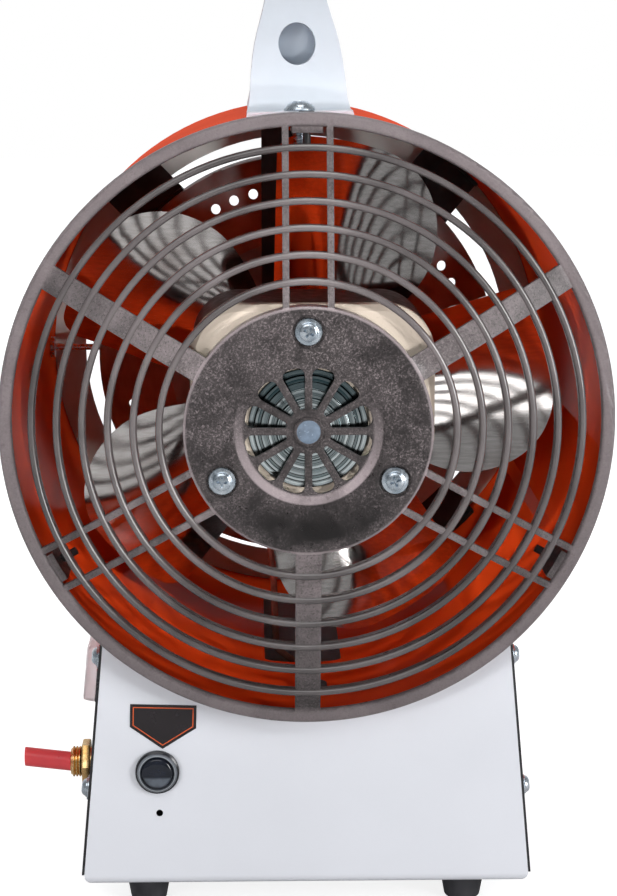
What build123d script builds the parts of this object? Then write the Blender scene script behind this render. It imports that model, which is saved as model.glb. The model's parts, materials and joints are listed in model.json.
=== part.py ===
from build123d import *

import os
from math import atan, cos, degrees, pi, radians, sin, sqrt

# A portable gas heater that blows hot air: a steel tube with a fan at the rear, a burner and a
# combustion cone at the hot end, and a base that holds the gas valve, the igniter and the switch.
#
# Units are millimetres. +X is to the right for someone who looks at the guard of the fan, +Y runs
# forward along the tube to the hot end, and +Z is up. The origin is on the floor, under the middle
# of the heater. Each block below makes one piece, or one group of identical pieces.

# ---------------------------------------------------------------------------------------------
# Driving dimensions
# ---------------------------------------------------------------------------------------------

# Fits
seat = 0.1  # gap between still pieces that lie on each other
fit = 0.05  # radial gap of a pressed, screwed or turning fit
loose = 0.3  # gap beside a piece that moves freely
sliding = 0.08  # radial gap of a piece that slides in a bore

# Casing tube
tube_low_z = 86.5  # height of the tube's lowest line above the floor
tube_r = 118.5
tube_wall = 1.0
tube_rear_y = -105.0
tube_length = 235.0
lip_width = 11.5  # the hot end is turned in by this much
lip_bend = 3.0
slot_width = 33.0  # slot in the tube's floor for the gas pipe and the lead
slot_rear_y = -26.0
slot_length = 118.0

# Guard over the fan
guard_wall = 1.6
guard_flange = 3.0
guard_skirt = 8.0
guard_face = 5.2  # width of the outer ring seen from behind
dome_r = 340.0  # the rings and bars lie on a sphere of this radius
outer_ring_inset = 11.4  # from the tube's wall to the middle of the outermost ring
inner_ring_out = 9.2  # from the disc to the middle of the innermost ring
ring_count = 6
ring_width = 2.65
ring_depth = 4.8
ring_bevel = 0.8
ring_proud = 0.7  # the rings stand this much behind the bars
bar_depth = 2.6
thin_bar = 2.6
thin_bar_spacing = 17.1
wide_bar = 10.1
disc_r = 48.0
disc_plate = 3.0
disc_proud = 1.0
disc_rim_wall = 3.0
disc_rim_depth = 6.0
dish_outer_r = 29.6  # a cone leads down to the sunk middle of the disc
dish_floor_r = 25.9
dish_depth = 1.0
vent_inner_r = 8.7
vent_outer_r = 24.8
vent_count = 12
vent_spoke = 2.8
vent_corner = 3.0
vent_root_corner = 0.7
boss_r = 5.7
boss_height = 0.5
lug_width = 12.0
lug_depth = 5.0
lug_length = 22.0
guard_screw_r = 1.6
guard_screw_head_r = 3.6
guard_screw_head = 1.7
guard_screw_y = -92.5
guard_screw_reach = 13.0

# Motor
motor_r = 46.5  # the round lower half of the housing
motor_top = 47.5  # how far the squarer upper half reaches up, to the left and to the right
motor_left = 45.5
motor_right = 49.0
motor_shoulder = 12.0  # the squarer half ends this far under the axis
motor_corner = 19.0
motor_low_corner = 8.0
motor_length = 61.0
motor_bore_r = 34.0
motor_rear_wall = 4.0
motor_chamfer = 2.5
motor_screw_circle_r = 38.3
motor_screw_r = 2.45
motor_screw_flange_r = 5.4
motor_screw_flange = 1.0
motor_screw_cap_r = 3.6
motor_screw_cap = 2.2
motor_screw_bevel = 0.6
screw_sink = 1.5  # the motor's screws stand in sinks this deep
screw_sink_r = 6.3
screw_boss_r = 4.8
screw_boss_length = 7.0
cap_spigot_r = 21.5
# each step of the end cap: its radius and how far it stands out behind the motor
cap_steps = ((23.2, 1.2), (20.8, 2.6), (18.4, 3.4), (15.6, 4.0), (12.4, 4.6), (8.8, 5.2), (6.0, 5.8))
bearing_boss_r = 12.0
bearing_boss_length = 5.5
front_cover_r = 44.0
front_cover_plate = 3.0
front_cover_spigot = 2.0
bush_r = 7.0
bush_length = 8.0
shaft_r = 4.0
shaft_shoulder_r = 5.6
shaft_shoulder = 4.0
stator_length = 34.0
stator_bore_r = 20.5
rotor_r = 20.0
rotor_length = 32.0
winding_outer_r = 31.0
winding_inner_r = 23.0
winding_length = 5.5

# Fan
fan_y = -8.0  # middle of the fan along the tube
blade_count = 5
blade_rest_angle = 71.5  # one blade points this way at rest, counted from the right
blade_tip_gap = 11.5  # to the tube's outer wall, so that the guard's lugs clear the tips
blade_sheet = 1.3
blade_root_r = 24.0
blade_root_chord = 54.0
blade_root_pitch = 34.0
blade_root_camber = 4.0
blade_end_chord = 126.0
blade_end_pitch = 21.0
blade_end_camber = 11.0
# leading edge of a blade that points to the right, in tip radii, then the angles of its tip
blade_lead = ((0.224, -0.14), (0.411, -0.238), (0.626, -0.313), (0.841, -0.266))
blade_tip_start = -2.5
blade_tip_end = 24.0
blade_trail_root = (0.224, 0.196)
blade_corner = 9.0
hub_cup_r = 30.0
hub_cup_wall = 1.8
hub_cup_depth = 20.0
hub_web = 2.0
hub_boss_r = 10.0
hub_boss_length = 18.0
fan_washer_r = 8.0
fan_washer = 1.2
fan_nut_flats = 13.0
fan_nut = 6.5
shaft_past_nut = 3.0

# Combustion cone and burner
cone_gap = 23.8  # to the tube's inner wall
cone_wall = 1.0
cone_front_gap = 3.0
cone_straight = 30.0
cone_rear_y = 52.0
cone_rear_r = 58.0
cone_opening_r = 32.0
cone_hole_r = 2.35
cone_hole_inset = 9.0
cone_hole_groups = 4
cone_holes_in_group = 4
cone_hole_pitch = 6.3  # degrees
strap_x = -8.0
strap_width = 18.0
strap_sheet = 1.5
strap_y = 40.0  # rear face of the burner's strap
plate_side = 54.0
strap_foot_width = 14.0
strap_foot_drop = 52.0
strap_tab = 12.0
burner_r = 19.0
burner_wall = 1.6
burner_length = 24.0
burner_port_r = 4.2
flame_disc_y = 67.0
flame_disc_bore_r = 30.0
flame_hole_circle_r = 48.0
flame_hole_r = 3.4
flame_hole_count = 12
nozzle_block = 20.0
nozzle_block_depth = 14.0
nozzle_r = 5.0
nozzle_tip_r = 2.4
nozzle_length = 12.0
electrode_x = -20.0
electrode_z = 14.0
electrode_r = 3.0
electrode_rear = 12.0
electrode_front = 34.0
electrode_wire_r = 0.8
electrode_wire = 8.0
bracket_angles = (50.0, 134.0, 226.0, 310.0)
bracket_width = 30.0
bracket_sheet = 1.5
bracket_inset = 6.0  # from the cone's front edge
bracket_flange = 10.0
probe_inset = 22.0  # from the cone's front edge
probe_z = 3.0
probe_r = 1.5
probe_flange_r = 5.0
probe_flange = 2.0
probe_reach = 29.0

# Base
base_rear_y = -93.0
base_length = 190.0
base_sheet = 1.0
base_bottom_z = 12.0
base_bend = 4.0
base_bottom_half = 91.2
base_lean = 0.0914  # the sides come in by this much for each millimetre of height
base_corner = 4.0
base_top_z = 135.0
rail_width = 16.0
rail_depth = 9.0
rail_low = 24.0
rail_high = 117.0
cover_sheet = 1.0
cover_low = 16.0
cover_high = 119.5
cover_inset = 1.0  # from the rear and front faces of the base
cover_screw_ys = (13.0, 177.0)  # behind and ahead, counted from the rear face of the base
cover_screw_zs = (49.5, 105.0)
cover_screw_r = 1.9
cover_screw_head_r = 4.0
cover_screw_head = 2.4
cover_screw_length = 8.0
washer_r = 5.0
washer = 0.8
indicator_hole_r = 1.25
indicator_hole_x = -59.8
indicator_hole_z = 42.6  # Feet
foot_x = 65.3
foot_rear_inset = 19.0
foot_front_inset = 17.0
foot_top_r = 9.4
foot_bottom_r = 7.2
foot_recess_r = 4.4
foot_recess = 5.0
foot_screw_r = 2.0
foot_screw_head_r = 3.8
foot_screw_head = 2.6
foot_screw_length = 15.0
foot_nut_flats = 7.0
foot_nut = 3.2

# Igniter
igniter_x = -60.5
igniter_z = 60.3
bezel_r = 8.95
bezel_proud = 3.0
bezel_bore_r = 6.6
bezel_neck_r = 7.6
igniter_length = 31.0
igniter_cavity = 21.0
button_proud = 2.6
button_length = 12.0
button_dome = 2.6
igniter_nut_flats = 20.0
igniter_nut = 4.0

# Gas inlet and valve
inlet_y = -33.0
inlet_z = 46.0
inlet_thread_r = 6.58
inlet_bore_r = 3.6
inlet_tip_x = -100.0
inlet_thread = 4.8
inlet_hex_flats = 17.0
inlet_hex = 3.6
inlet_neck_r = 6.3
plug_r = 4.1
plug_tip_x = -119.8
plug_shank = 13.0
plug_bore_r = 2.4
plug_bore = 16.0
valve_x = -84.0
valve_length = 32.0
valve_side = 22.0
coil_r = 10.0
coil_height = 20.0
valve_foot_sheet = 1.5
pipe_r = 3.0
pipe_x = 4.0
pipe_y = 32.0
pipe_bend = 11.0

# Rocker switch and its clear cover
switch_y = -43.0
switch_z = 91.2
switch_height = 24.0
switch_width = 34.0
switch_rim = 1.6
switch_body_height = 19.0
switch_body_width = 28.0
switch_body_depth = 13.0
rocker_height = 14.6
rocker_width = 23.0
rocker_depth = 6.0
rocker_proud = 2.0
rocker_pocket = 16.6
rocker_pocket_depth = 12.0
switch_cover_proud = 6.4
switch_cover_wall = 1.0

# Other pieces in the base
lead_r = 1.5
motor_lead_r = 2.0
motor_lead_x = 3.0
motor_lead_y = -66.0
grommet_r = 6.0
grommet_flange = 1.5
terminal_x = 40.0
terminal_y = 20.0
terminal_width = 34.0
terminal_depth = 16.0
terminal_height = 14.0
terminal_pole = 6.0
thermostat_angle = -112.0
thermostat_y = 60.0
thermostat_r = 8.0
thermostat_height = 6.0
thermostat_ear = 24.0
gland_x = 55.0
gland_z = 40.0
gland_flats = 16.0
gland_length = 14.0
gland_thread_r = 6.0
gland_bore_r = 3.4

# Carrying handle
handle_rear_inset = 21.0  # from the tube's rear edge
handle_front_inset = 4.0  # from the tube's front edge
handle_tab = 1.2
handle_top = 61.5  # top of the grip above the tube
grip_depth = 19.0
handle_lean = 1.1  # the handle sits a little to the left, turned by this about the tube's axis
handle_half_foot = 21.0
handle_half_leg = 19.6
handle_half_mid = 16.4
handle_half_grip = 11.4
handle_mid_height = 30.5
handle_neck_height = 50.0
handle_foot_height = 4.5
thumb_width = 15.0
thumb_height = 17.0
thumb_middle = 27.3  # above the tube
thumb_depth = 7.0
handle_bolt_inset = 12.0
handle_bolt_r = 3.0
handle_bolt_head_r = 6.25
handle_bolt_head = 3.6
handle_bolt_reach = 11.0  # the shank ends this far inside the tube's wall
handle_nut_flats = 10.0
handle_nut = 5.0

# ---------------------------------------------------------------------------------------------
# Places worked out from the driving dimensions
# ---------------------------------------------------------------------------------------------

axis_z = tube_low_z + tube_r
tube_front_y = tube_rear_y + tube_length
tube_bore_r = tube_r - tube_wall
lip_opening_r = tube_r - lip_width
tube_axis = Axis((0, 0, axis_z), (0, 1, 0))
# profiles that turn round the tube's axis are drawn here: x runs forward, y is the radius
along = Plane(origin=(0, 0, axis_z), x_dir=(0, 1, 0), z_dir=(1, 0, 0))

guard_r = tube_r + seat + guard_wall
guard_inner_r = guard_r - guard_face
guard_rear_y = tube_rear_y - guard_flange
thin_bar_angle = 90.0
wide_bar_angle = 30.0

base_front_y = base_rear_y + base_length
base_floor_z = base_bottom_z + base_sheet
lean_angle = degrees(atan(base_lean))


def facing_rear(y):
    """The plane square to the tube at y, with x to the right and y up from the tube's axis.

    An extrusion from it with a positive amount goes rearwards.
    """
    return Plane(origin=(0, y, axis_z), x_dir=(1, 0, 0), z_dir=(0, -1, 0))


def rear_wall_at(x, y, z):
    """A plane square to the tube whose middle is the point x, y, z."""
    return Plane(origin=(x, y, z), x_dir=(1, 0, 0), z_dir=(0, -1, 0))


def dome_y(r):
    """Where the guard's dome lies along the tube, at the radius r."""
    return guard_rear_y - (sqrt(dome_r**2 - r**2) - sqrt(dome_r**2 - guard_inner_r**2))


def base_half(z):
    """Half the width of the base at the height z."""
    return base_bottom_half - base_lean * (z - base_bottom_z)


def side_plane(side, y, z, out=0.0):
    """The plane of a leaning side of the base: side is -1 on the left and 1 on the right.

    Its normal points outwards, its y runs up, and it lies the distance out beyond the base.
    """
    outwards = Vector(side * cos(radians(lean_angle)), 0, sin(radians(lean_angle)))
    middle = Vector(side * base_half(z), y, z) + outwards * out
    return Plane(origin=middle, x_dir=(0, side, 0), z_dir=outwards)


def radial_plane(angle, y, r):
    """The plane that touches the cylinder of radius r at an angle counted from the right."""
    outwards = Vector(cos(radians(angle)), 0, sin(radians(angle)))
    middle = Vector(0, y, axis_z) + outwards * r
    return Plane(origin=middle, x_dir=(0, 1, 0), z_dir=outwards)


os.makedirs("parts", exist_ok=True)


def save(piece, name):
    """Labels a finished piece and writes it to its own file."""
    piece.part.label = name
    export_step(piece.part, f"parts/{name}.step")


# ---------------------------------------------------------------------------------------------
# Casing tube
# ---------------------------------------------------------------------------------------------

handle_rear_y = tube_rear_y + handle_rear_inset
handle_front_y = tube_front_y - handle_front_inset
handle_bolt_ys = (handle_rear_y + handle_bolt_inset, handle_front_y - handle_bolt_inset)

with BuildPart() as casing_tube:
    with BuildSketch(along) as wall:
        with BuildLine():
            Polyline(
                (tube_rear_y, tube_bore_r),
                (tube_rear_y, tube_r),
                (tube_front_y, tube_r),
                (tube_front_y, lip_opening_r),
                (tube_front_y - tube_wall, lip_opening_r),
                (tube_front_y - tube_wall, tube_bore_r),
                close=True,
            )
        make_face()
        corners = wall.vertices().group_by(Axis.X)
        fillet(corners[-1].sort_by(Axis.Y)[-1], lip_bend)
        fillet(corners[-2].sort_by(Axis.Y)[-1], lip_bend - tube_wall)
    revolve(axis=tube_axis)
    # the slot in the tube's floor
    with BuildSketch(Plane.XY):
        with Locations((0, slot_rear_y + slot_length / 2)):
            RectangleRounded(slot_width, slot_length, 3)
    extrude(amount=axis_z, mode=Mode.SUBTRACT)
    # the hole for the motor's lead
    with BuildSketch(Plane.XY):
        with Locations((motor_lead_x, motor_lead_y)):
            Circle(grommet_r - grommet_flange)
    extrude(amount=axis_z, mode=Mode.SUBTRACT)
    # the handle's bolts
    for y in handle_bolt_ys:
        with BuildSketch(radial_plane(90 + handle_lean, y, tube_r + tube_wall)):
            Circle(handle_bolt_r + seat)
        extrude(amount=-3 * tube_wall, mode=Mode.SUBTRACT)
    # the guard's screws
    for k in range(3):
        with BuildSketch(radial_plane(thin_bar_angle + 120 * k, guard_screw_y, tube_r + tube_wall)):
            Circle(guard_screw_r + seat)
        extrude(amount=-3 * tube_wall, mode=Mode.SUBTRACT)
save(casing_tube, "casing_tube")

# ---------------------------------------------------------------------------------------------
# Guard over the fan
# ---------------------------------------------------------------------------------------------

disc_rear_y = dome_y(disc_r) - disc_proud
disc_front_y = disc_rear_y + disc_plate
bar_root_r = disc_r - disc_rim_wall
bar_end_r = guard_inner_r + 1.0
bar_mid_r = (bar_root_r + bar_end_r) / 2
bar_length = bar_end_r - bar_root_r
outer_ring_r = tube_r - outer_ring_inset
ring_pitch = (outer_ring_r - disc_r - inner_ring_out) / (ring_count - 1)
ring_radii = [outer_ring_r - ring_pitch * k for k in range(ring_count)]

with BuildPart() as rear_guard:
    # a dish on the dome, of which only the bars are kept
    with BuildSketch(along):
        with BuildLine():
            root, middle, end = [
                (dome_y(r), r) for r in (bar_root_r, bar_mid_r, bar_end_r)
            ]
            ThreePointArc(root, middle, end)
            Line(end, (end[0] + bar_depth, end[1]))
            ThreePointArc(
                (end[0] + bar_depth, end[1]),
                (middle[0] + bar_depth, middle[1]),
                (root[0] + bar_depth, root[1]),
            )
            Line((root[0] + bar_depth, root[1]), root)
        make_face()
    revolve(axis=tube_axis)
    with BuildSketch(facing_rear(tube_rear_y + tube_wall)) as bars:
        with PolarLocations(bar_mid_r, 3, thin_bar_angle):
            with GridLocations(0, thin_bar_spacing, 1, 2):
                Rectangle(bar_length + 4, thin_bar)
        with PolarLocations(bar_mid_r, 3, wide_bar_angle):
            Rectangle(bar_length + 4, wide_bar)
    extrude(amount=60, mode=Mode.INTERSECT)
    # the rings
    for r in ring_radii:
        with BuildSketch(along) as ring_section:
            with Locations((dome_y(r) - ring_proud, r)):
                Rectangle(ring_depth, ring_width, align=(Align.MIN, Align.CENTER))
            chamfer(ring_section.vertices().group_by(Axis.X)[0], ring_bevel)
        revolve(axis=tube_axis)
    # the outer ring, whose skirt slips over the tube's edge
    with BuildSketch(along) as rim:
        with BuildLine():
            Polyline(
                (guard_rear_y, guard_inner_r),
                (guard_rear_y, guard_r),
                (tube_rear_y + guard_skirt, guard_r),
                (tube_rear_y + guard_skirt, guard_r - guard_wall),
                (tube_rear_y, guard_r - guard_wall),
                (tube_rear_y, guard_inner_r),
                close=True,
            )
        make_face()
        fillet(rim.vertices().group_by(Axis.X)[0], 1.3)
    revolve(axis=tube_axis)
    # the disc that carries the motor
    with BuildSketch(along) as disc:
        with BuildLine():
            Polyline(
                (disc_rear_y - boss_height, 0),
                (disc_rear_y - boss_height, boss_r),
                (disc_rear_y + dish_depth, boss_r),
                (disc_rear_y + dish_depth, dish_floor_r),
                (disc_rear_y, dish_outer_r),
                (disc_rear_y, disc_r),
                (disc_front_y + disc_rim_depth, disc_r),
                (disc_front_y + disc_rim_depth, disc_r - disc_rim_wall),
                (disc_front_y, disc_r - disc_rim_wall),
                (disc_front_y, 0),
                close=True,
            )
        make_face()
        chamfer(disc.vertices().group_by(Axis.X)[1].sort_by(Axis.Y)[-1], 1.0)
    revolve(axis=tube_axis)
    with BuildSketch(facing_rear(disc_front_y)):
        with PolarLocations(motor_screw_circle_r, 3, thin_bar_angle):
            Circle(screw_boss_r)
    extrude(amount=-screw_boss_length)
    with BuildSketch(facing_rear(disc_front_y + 2 * screw_boss_length)):
        with PolarLocations(motor_screw_circle_r, 3, thin_bar_angle):
            Circle(motor_screw_r + seat)
    extrude(amount=60, mode=Mode.SUBTRACT)
    with BuildSketch(facing_rear(disc_rear_y + screw_sink)):
        with PolarLocations(motor_screw_circle_r, 3, thin_bar_angle):
            Circle(screw_sink_r)
    extrude(amount=2 * screw_sink, mode=Mode.SUBTRACT)
    # the vents round the boss
    with BuildSketch(facing_rear(disc_front_y + 1)) as vents:
        Circle(vent_outer_r)
        Circle(vent_inner_r, mode=Mode.SUBTRACT)
        with PolarLocations(vent_outer_r / 2, vent_count, thin_bar_angle):
            Rectangle(vent_outer_r + 4, vent_spoke, mode=Mode.SUBTRACT)
        fillet(vents.vertices().sort_by_distance((0, 0, 0))[: 2 * vent_count], vent_root_corner)
        fillet(vents.vertices().sort_by_distance((0, 0, 0))[-2 * vent_count :], vent_corner)
    extrude(amount=2 * disc_plate, mode=Mode.SUBTRACT)
    # lugs that reach into the tube and take the guard's screws
    with BuildSketch(facing_rear(guard_rear_y + lug_length)) as lugs:
        with PolarLocations(tube_bore_r - lug_depth / 2, 3, thin_bar_angle):
            Rectangle(lug_depth * 2, lug_width)
        Circle(tube_bore_r - seat - lug_depth, mode=Mode.SUBTRACT)
        with BuildSketch(mode=Mode.INTERSECT):
            Circle(tube_bore_r - seat)
    extrude(amount=lug_length - guard_flange / 2)
    for k in range(3):
        with BuildSketch(radial_plane(thin_bar_angle + 120 * k, guard_screw_y, tube_r - 10)):
            Circle(guard_screw_r + fit)
        extrude(amount=20, mode=Mode.SUBTRACT)
save(rear_guard, "rear_guard")

with BuildPart() as guard_screws:
    for k in range(3):
        with BuildSketch(radial_plane(thin_bar_angle + 120 * k, guard_screw_y, tube_r + seat)):
            Circle(guard_screw_head_r)
        extrude(amount=guard_screw_head, taper=18)
        with BuildSketch(radial_plane(thin_bar_angle + 120 * k, guard_screw_y, tube_r + 2 * seat)):
            Circle(guard_screw_r)
        extrude(amount=-guard_screw_reach)
save(guard_screws, "guard_screws")

# ---------------------------------------------------------------------------------------------
# Motor
# ---------------------------------------------------------------------------------------------

motor_rear_y = disc_front_y + screw_boss_length
motor_front_y = motor_rear_y + motor_length
motor_inside_rear_y = motor_rear_y + motor_rear_wall
bearing_front_y = motor_front_y + front_cover_plate + bearing_boss_length
rear_bush_y = motor_inside_rear_y + seat
stator_rear_y = motor_inside_rear_y + 12.0

with BuildPart() as motor_housing:
    with BuildSketch(facing_rear(motor_front_y)):
        Circle(motor_r)
        with BuildSketch() as upper_half:
            with Locations((-motor_left, -motor_shoulder)):
                Rectangle(motor_left + motor_right, motor_top + motor_shoulder, align=Align.MIN)
            fillet(upper_half.vertices().group_by(Axis.Y)[-1], motor_corner)
            fillet(upper_half.vertices().group_by(Axis.Y)[0], motor_low_corner)
    extrude(amount=motor_length)
    chamfer(motor_housing.edges().group_by(Axis.Y)[0], motor_chamfer)
    chamfer(motor_housing.edges().group_by(Axis.Y)[-1], motor_chamfer)
    with BuildSketch(facing_rear(motor_front_y)):
        Circle(motor_bore_r)
    extrude(amount=motor_length - motor_rear_wall, mode=Mode.SUBTRACT)
    # the seat of the end cap, and the long screws' holes
    with BuildSketch(facing_rear(motor_front_y)):
        Circle(cap_spigot_r + fit)
        with PolarLocations(motor_screw_circle_r, 3, thin_bar_angle):
            Circle(motor_screw_r + seat)
    extrude(amount=motor_length, mode=Mode.SUBTRACT)
    # the hole where the lead comes out below
    with BuildSketch(Plane.XY.offset(axis_z - 2 * motor_r)):
        with Locations((motor_lead_x, motor_lead_y)):
            Circle(motor_lead_r + seat)
    extrude(amount=2 * motor_r, mode=Mode.SUBTRACT)
save(motor_housing, "motor_housing")

with BuildPart() as motor_end_cap:
    with BuildSketch(along):
        for step_r, step_height in cap_steps:
            with Locations((motor_rear_y - step_height, 0)):
                Rectangle(step_height, step_r, align=Align.MIN)
        with Locations((motor_rear_y, 0)):
            Rectangle(motor_rear_wall, cap_spigot_r, align=Align.MIN)
        with Locations((motor_inside_rear_y, 0)):
            Rectangle(bush_length + seat, bearing_boss_r, align=Align.MIN)
            Rectangle(bush_length + 2 * seat, bush_r, align=Align.MIN, mode=Mode.SUBTRACT)
    revolve(axis=tube_axis)
save(motor_end_cap, "motor_end_cap")

with BuildPart() as motor_front_cover:
    # it closes the motor at the fan's side and carries the front bush
    with BuildSketch(along):
        with Locations((motor_front_y, 0)):
            Rectangle(front_cover_plate, front_cover_r, align=Align.MIN)
            Rectangle(front_cover_plate + bearing_boss_length, bearing_boss_r, align=Align.MIN)
        with Locations((motor_front_y - front_cover_spigot, 0)):
            Rectangle(2 * front_cover_spigot, motor_bore_r - fit, align=Align.MIN)
        with Locations((motor_front_y - front_cover_spigot - 1, 0)):
            Rectangle(motor_length, bush_r, align=Align.MIN, mode=Mode.SUBTRACT)
    revolve(axis=tube_axis)
    with BuildSketch(facing_rear(motor_front_y + front_cover_plate)):
        with PolarLocations(motor_screw_circle_r, 3, thin_bar_angle):
            Circle(motor_screw_r + fit)
    extrude(amount=front_cover_plate, mode=Mode.SUBTRACT)
save(motor_front_cover, "motor_front_cover")

with BuildPart() as motor_bushes:
    for front_y in (rear_bush_y + bush_length, bearing_front_y):
        with BuildSketch(facing_rear(front_y)):
            Circle(bush_r - fit / 2)
            Circle(shaft_r + fit, mode=Mode.SUBTRACT)
        extrude(amount=bush_length)
save(motor_bushes, "motor_bushes")

with BuildPart() as motor_stator:
    with BuildSketch(facing_rear(stator_rear_y + stator_length)):
        Circle(motor_bore_r - fit)
        Circle(stator_bore_r, mode=Mode.SUBTRACT)
    extrude(amount=stator_length)
save(motor_stator, "motor_stator")

with BuildPart() as motor_windings:
    for front_y in (stator_rear_y - seat, stator_rear_y + stator_length + seat + winding_length):
        with BuildSketch(facing_rear(front_y)):
            Circle(winding_outer_r)
            Circle(winding_inner_r, mode=Mode.SUBTRACT)
        extrude(amount=winding_length)
save(motor_windings, "motor_windings")

with BuildPart() as motor_screws:
    # long screws through the disc and the housing into the front cover
    with BuildSketch(facing_rear(disc_rear_y + screw_sink)):
        with PolarLocations(motor_screw_circle_r, 3, thin_bar_angle):
            Circle(motor_screw_flange_r)
    extrude(amount=motor_screw_flange)
    with BuildSketch(facing_rear(disc_rear_y + screw_sink - motor_screw_flange)):
        with PolarLocations(motor_screw_circle_r, 3, thin_bar_angle):
            Circle(motor_screw_cap_r)
    extrude(amount=motor_screw_cap)
    chamfer(motor_screws.edges().group_by(Axis.Y)[0], motor_screw_bevel)
    with BuildSketch(facing_rear(motor_front_y + front_cover_plate)):
        with PolarLocations(motor_screw_circle_r, 3, thin_bar_angle):
            Circle(motor_screw_r)
    extrude(amount=motor_front_y + front_cover_plate - disc_rear_y - screw_sink)
save(motor_screws, "motor_screws")

# ---------------------------------------------------------------------------------------------
# Fan, which turns with the motor's shaft
# ---------------------------------------------------------------------------------------------

hub_rear_y = fan_y - hub_boss_length / 2
hub_front_y = fan_y + hub_boss_length / 2
nut_rear_y = hub_front_y + fan_washer
shaft_rear_y = rear_bush_y + seat
shaft_front_y = nut_rear_y + fan_nut + shaft_past_nut
rotor_rear_y = stator_rear_y + (stator_length - rotor_length) / 2

with BuildPart() as motor_shaft:
    with BuildSketch(along):
        with Locations((shaft_rear_y, 0)):
            Rectangle(shaft_front_y - shaft_rear_y, shaft_r, align=Align.MIN)
        with Locations((hub_rear_y - shaft_shoulder, 0)):
            Rectangle(shaft_shoulder, shaft_shoulder_r, align=Align.MIN)
    revolve(axis=tube_axis)
save(motor_shaft, "motor_shaft")

with BuildPart() as motor_rotor:
    with BuildSketch(facing_rear(rotor_rear_y + rotor_length)):
        Circle(rotor_r)
        Circle(shaft_r + fit / 2, mode=Mode.SUBTRACT)
    extrude(amount=rotor_length)
save(motor_rotor, "motor_rotor")


def blade_section(r, chord, pitch, camber):
    """The curved section of a blade that points to the right, at the radius r.

    Its x runs up, towards the trailing edge, and its y runs rearwards.
    """
    plane = Plane(origin=(r, fan_y, axis_z), x_dir=(0, 0, 1), z_dir=(1, 0, 0))
    half_x = chord / 2 * cos(radians(pitch))
    half_y = chord / 2 * sin(radians(pitch))
    with BuildSketch(plane) as section:
        with BuildLine():
            ThreePointArc((-half_x, half_y), (0, camber), (half_x, -half_y))
            Line((half_x, -half_y), (half_x, -half_y - blade_sheet))
            ThreePointArc(
                (half_x, -half_y - blade_sheet),
                (0, camber - blade_sheet),
                (-half_x, half_y - blade_sheet),
            )
            Line((-half_x, half_y - blade_sheet), (-half_x, half_y))
        make_face()
    return section.sketch


blade_tip_r = tube_r - blade_tip_gap
blade_cut = 60.0  # cuts through the blades reach this far behind and ahead of the fan's middle


def in_tip_radii(point):
    """A point of the blade's outline, in millimetres."""
    return (blade_tip_r * point[0], blade_tip_r * point[1])


def on_tip(angle):
    """The point on the circle of the blade tips at an angle from the blade's middle."""
    return (blade_tip_r * cos(radians(angle)), blade_tip_r * sin(radians(angle)))


with BuildPart() as blade:
    # a twisted, cambered sheet, then cut to the outline of the paddle
    root_face = blade_section(
        blade_root_r, blade_root_chord, blade_root_pitch, blade_root_camber
    )
    end_face = blade_section(
        blade_tip_r + 4, blade_end_chord, blade_end_pitch, blade_end_camber
    )
    loft([root_face, end_face], ruled=True)
    with BuildSketch(facing_rear(fan_y + blade_cut)) as paddle:
        with BuildLine():
            tip_start = on_tip(blade_tip_start)
            tip_end = on_tip(blade_tip_end)
            lead = [in_tip_radii(point) for point in blade_lead]
            trail_root = in_tip_radii(blade_trail_root)
            Spline(*lead, tip_start)
            ThreePointArc(tip_start, on_tip((blade_tip_start + blade_tip_end) / 2), tip_end)
            Line(tip_end, trail_root)
            Line(trail_root, lead[0])
        make_face()
        fillet(paddle.vertices().group_by(Axis.Y)[-1], blade_corner)
    extrude(amount=2 * blade_cut, mode=Mode.INTERSECT)

with BuildPart() as fan_impeller:
    with BuildSketch(along):
        with Locations((fan_y, hub_cup_r - hub_cup_wall / 2)):
            Rectangle(hub_cup_depth, hub_cup_wall)
        with Locations((fan_y - hub_web / 2, 0)):
            Rectangle(hub_web, hub_cup_r, align=Align.MIN)
        with Locations((hub_rear_y, 0)):
            Rectangle(hub_boss_length, hub_boss_r, align=Align.MIN)
    revolve(axis=tube_axis)
    # the blades end at the wall of the hub's cup
    with BuildPart(mode=Mode.PRIVATE) as blades:
        for k in range(blade_count):
            add(blade.part.rotate(tube_axis, -(blade_rest_angle + 360 / blade_count * k)))
        with BuildSketch(facing_rear(fan_y + blade_cut)):
            Circle(hub_cup_r - hub_cup_wall / 2)
        extrude(amount=2 * blade_cut, mode=Mode.SUBTRACT)
    add(blades.part)
    with BuildSketch(facing_rear(hub_front_y + 1)):
        Circle(shaft_r + fit / 2)
    extrude(amount=hub_boss_length + 2, mode=Mode.SUBTRACT)
save(fan_impeller, "fan_impeller")

with BuildPart() as fan_nut_set:
    with BuildSketch(facing_rear(nut_rear_y)):
        Circle(fan_washer_r)
        Circle(shaft_r + fit, mode=Mode.SUBTRACT)
    extrude(amount=fan_washer)
    with BuildSketch(facing_rear(nut_rear_y + fan_nut)):
        RegularPolygon(fan_nut_flats / 2, 6, major_radius=False)
        Circle(shaft_r + fit / 2, mode=Mode.SUBTRACT)
    extrude(amount=fan_nut)
save(fan_nut_set, "fan_nut")

# ---------------------------------------------------------------------------------------------
# Combustion cone and burner
# ---------------------------------------------------------------------------------------------

cone_r = tube_bore_r - cone_gap
cone_front_y = tube_front_y - tube_wall - cone_front_gap
bracket_y = cone_front_y - bracket_inset
probe_y = cone_front_y - probe_inset
cone_knee_y = cone_front_y - cone_straight


def cone_inner_radius(y):
    """The inner radius of the cone where it tapers."""
    share = (y - cone_rear_y - cone_wall) / (cone_knee_y - cone_rear_y - cone_wall)
    return cone_rear_r - cone_wall + share * (cone_r - cone_rear_r)


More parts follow.
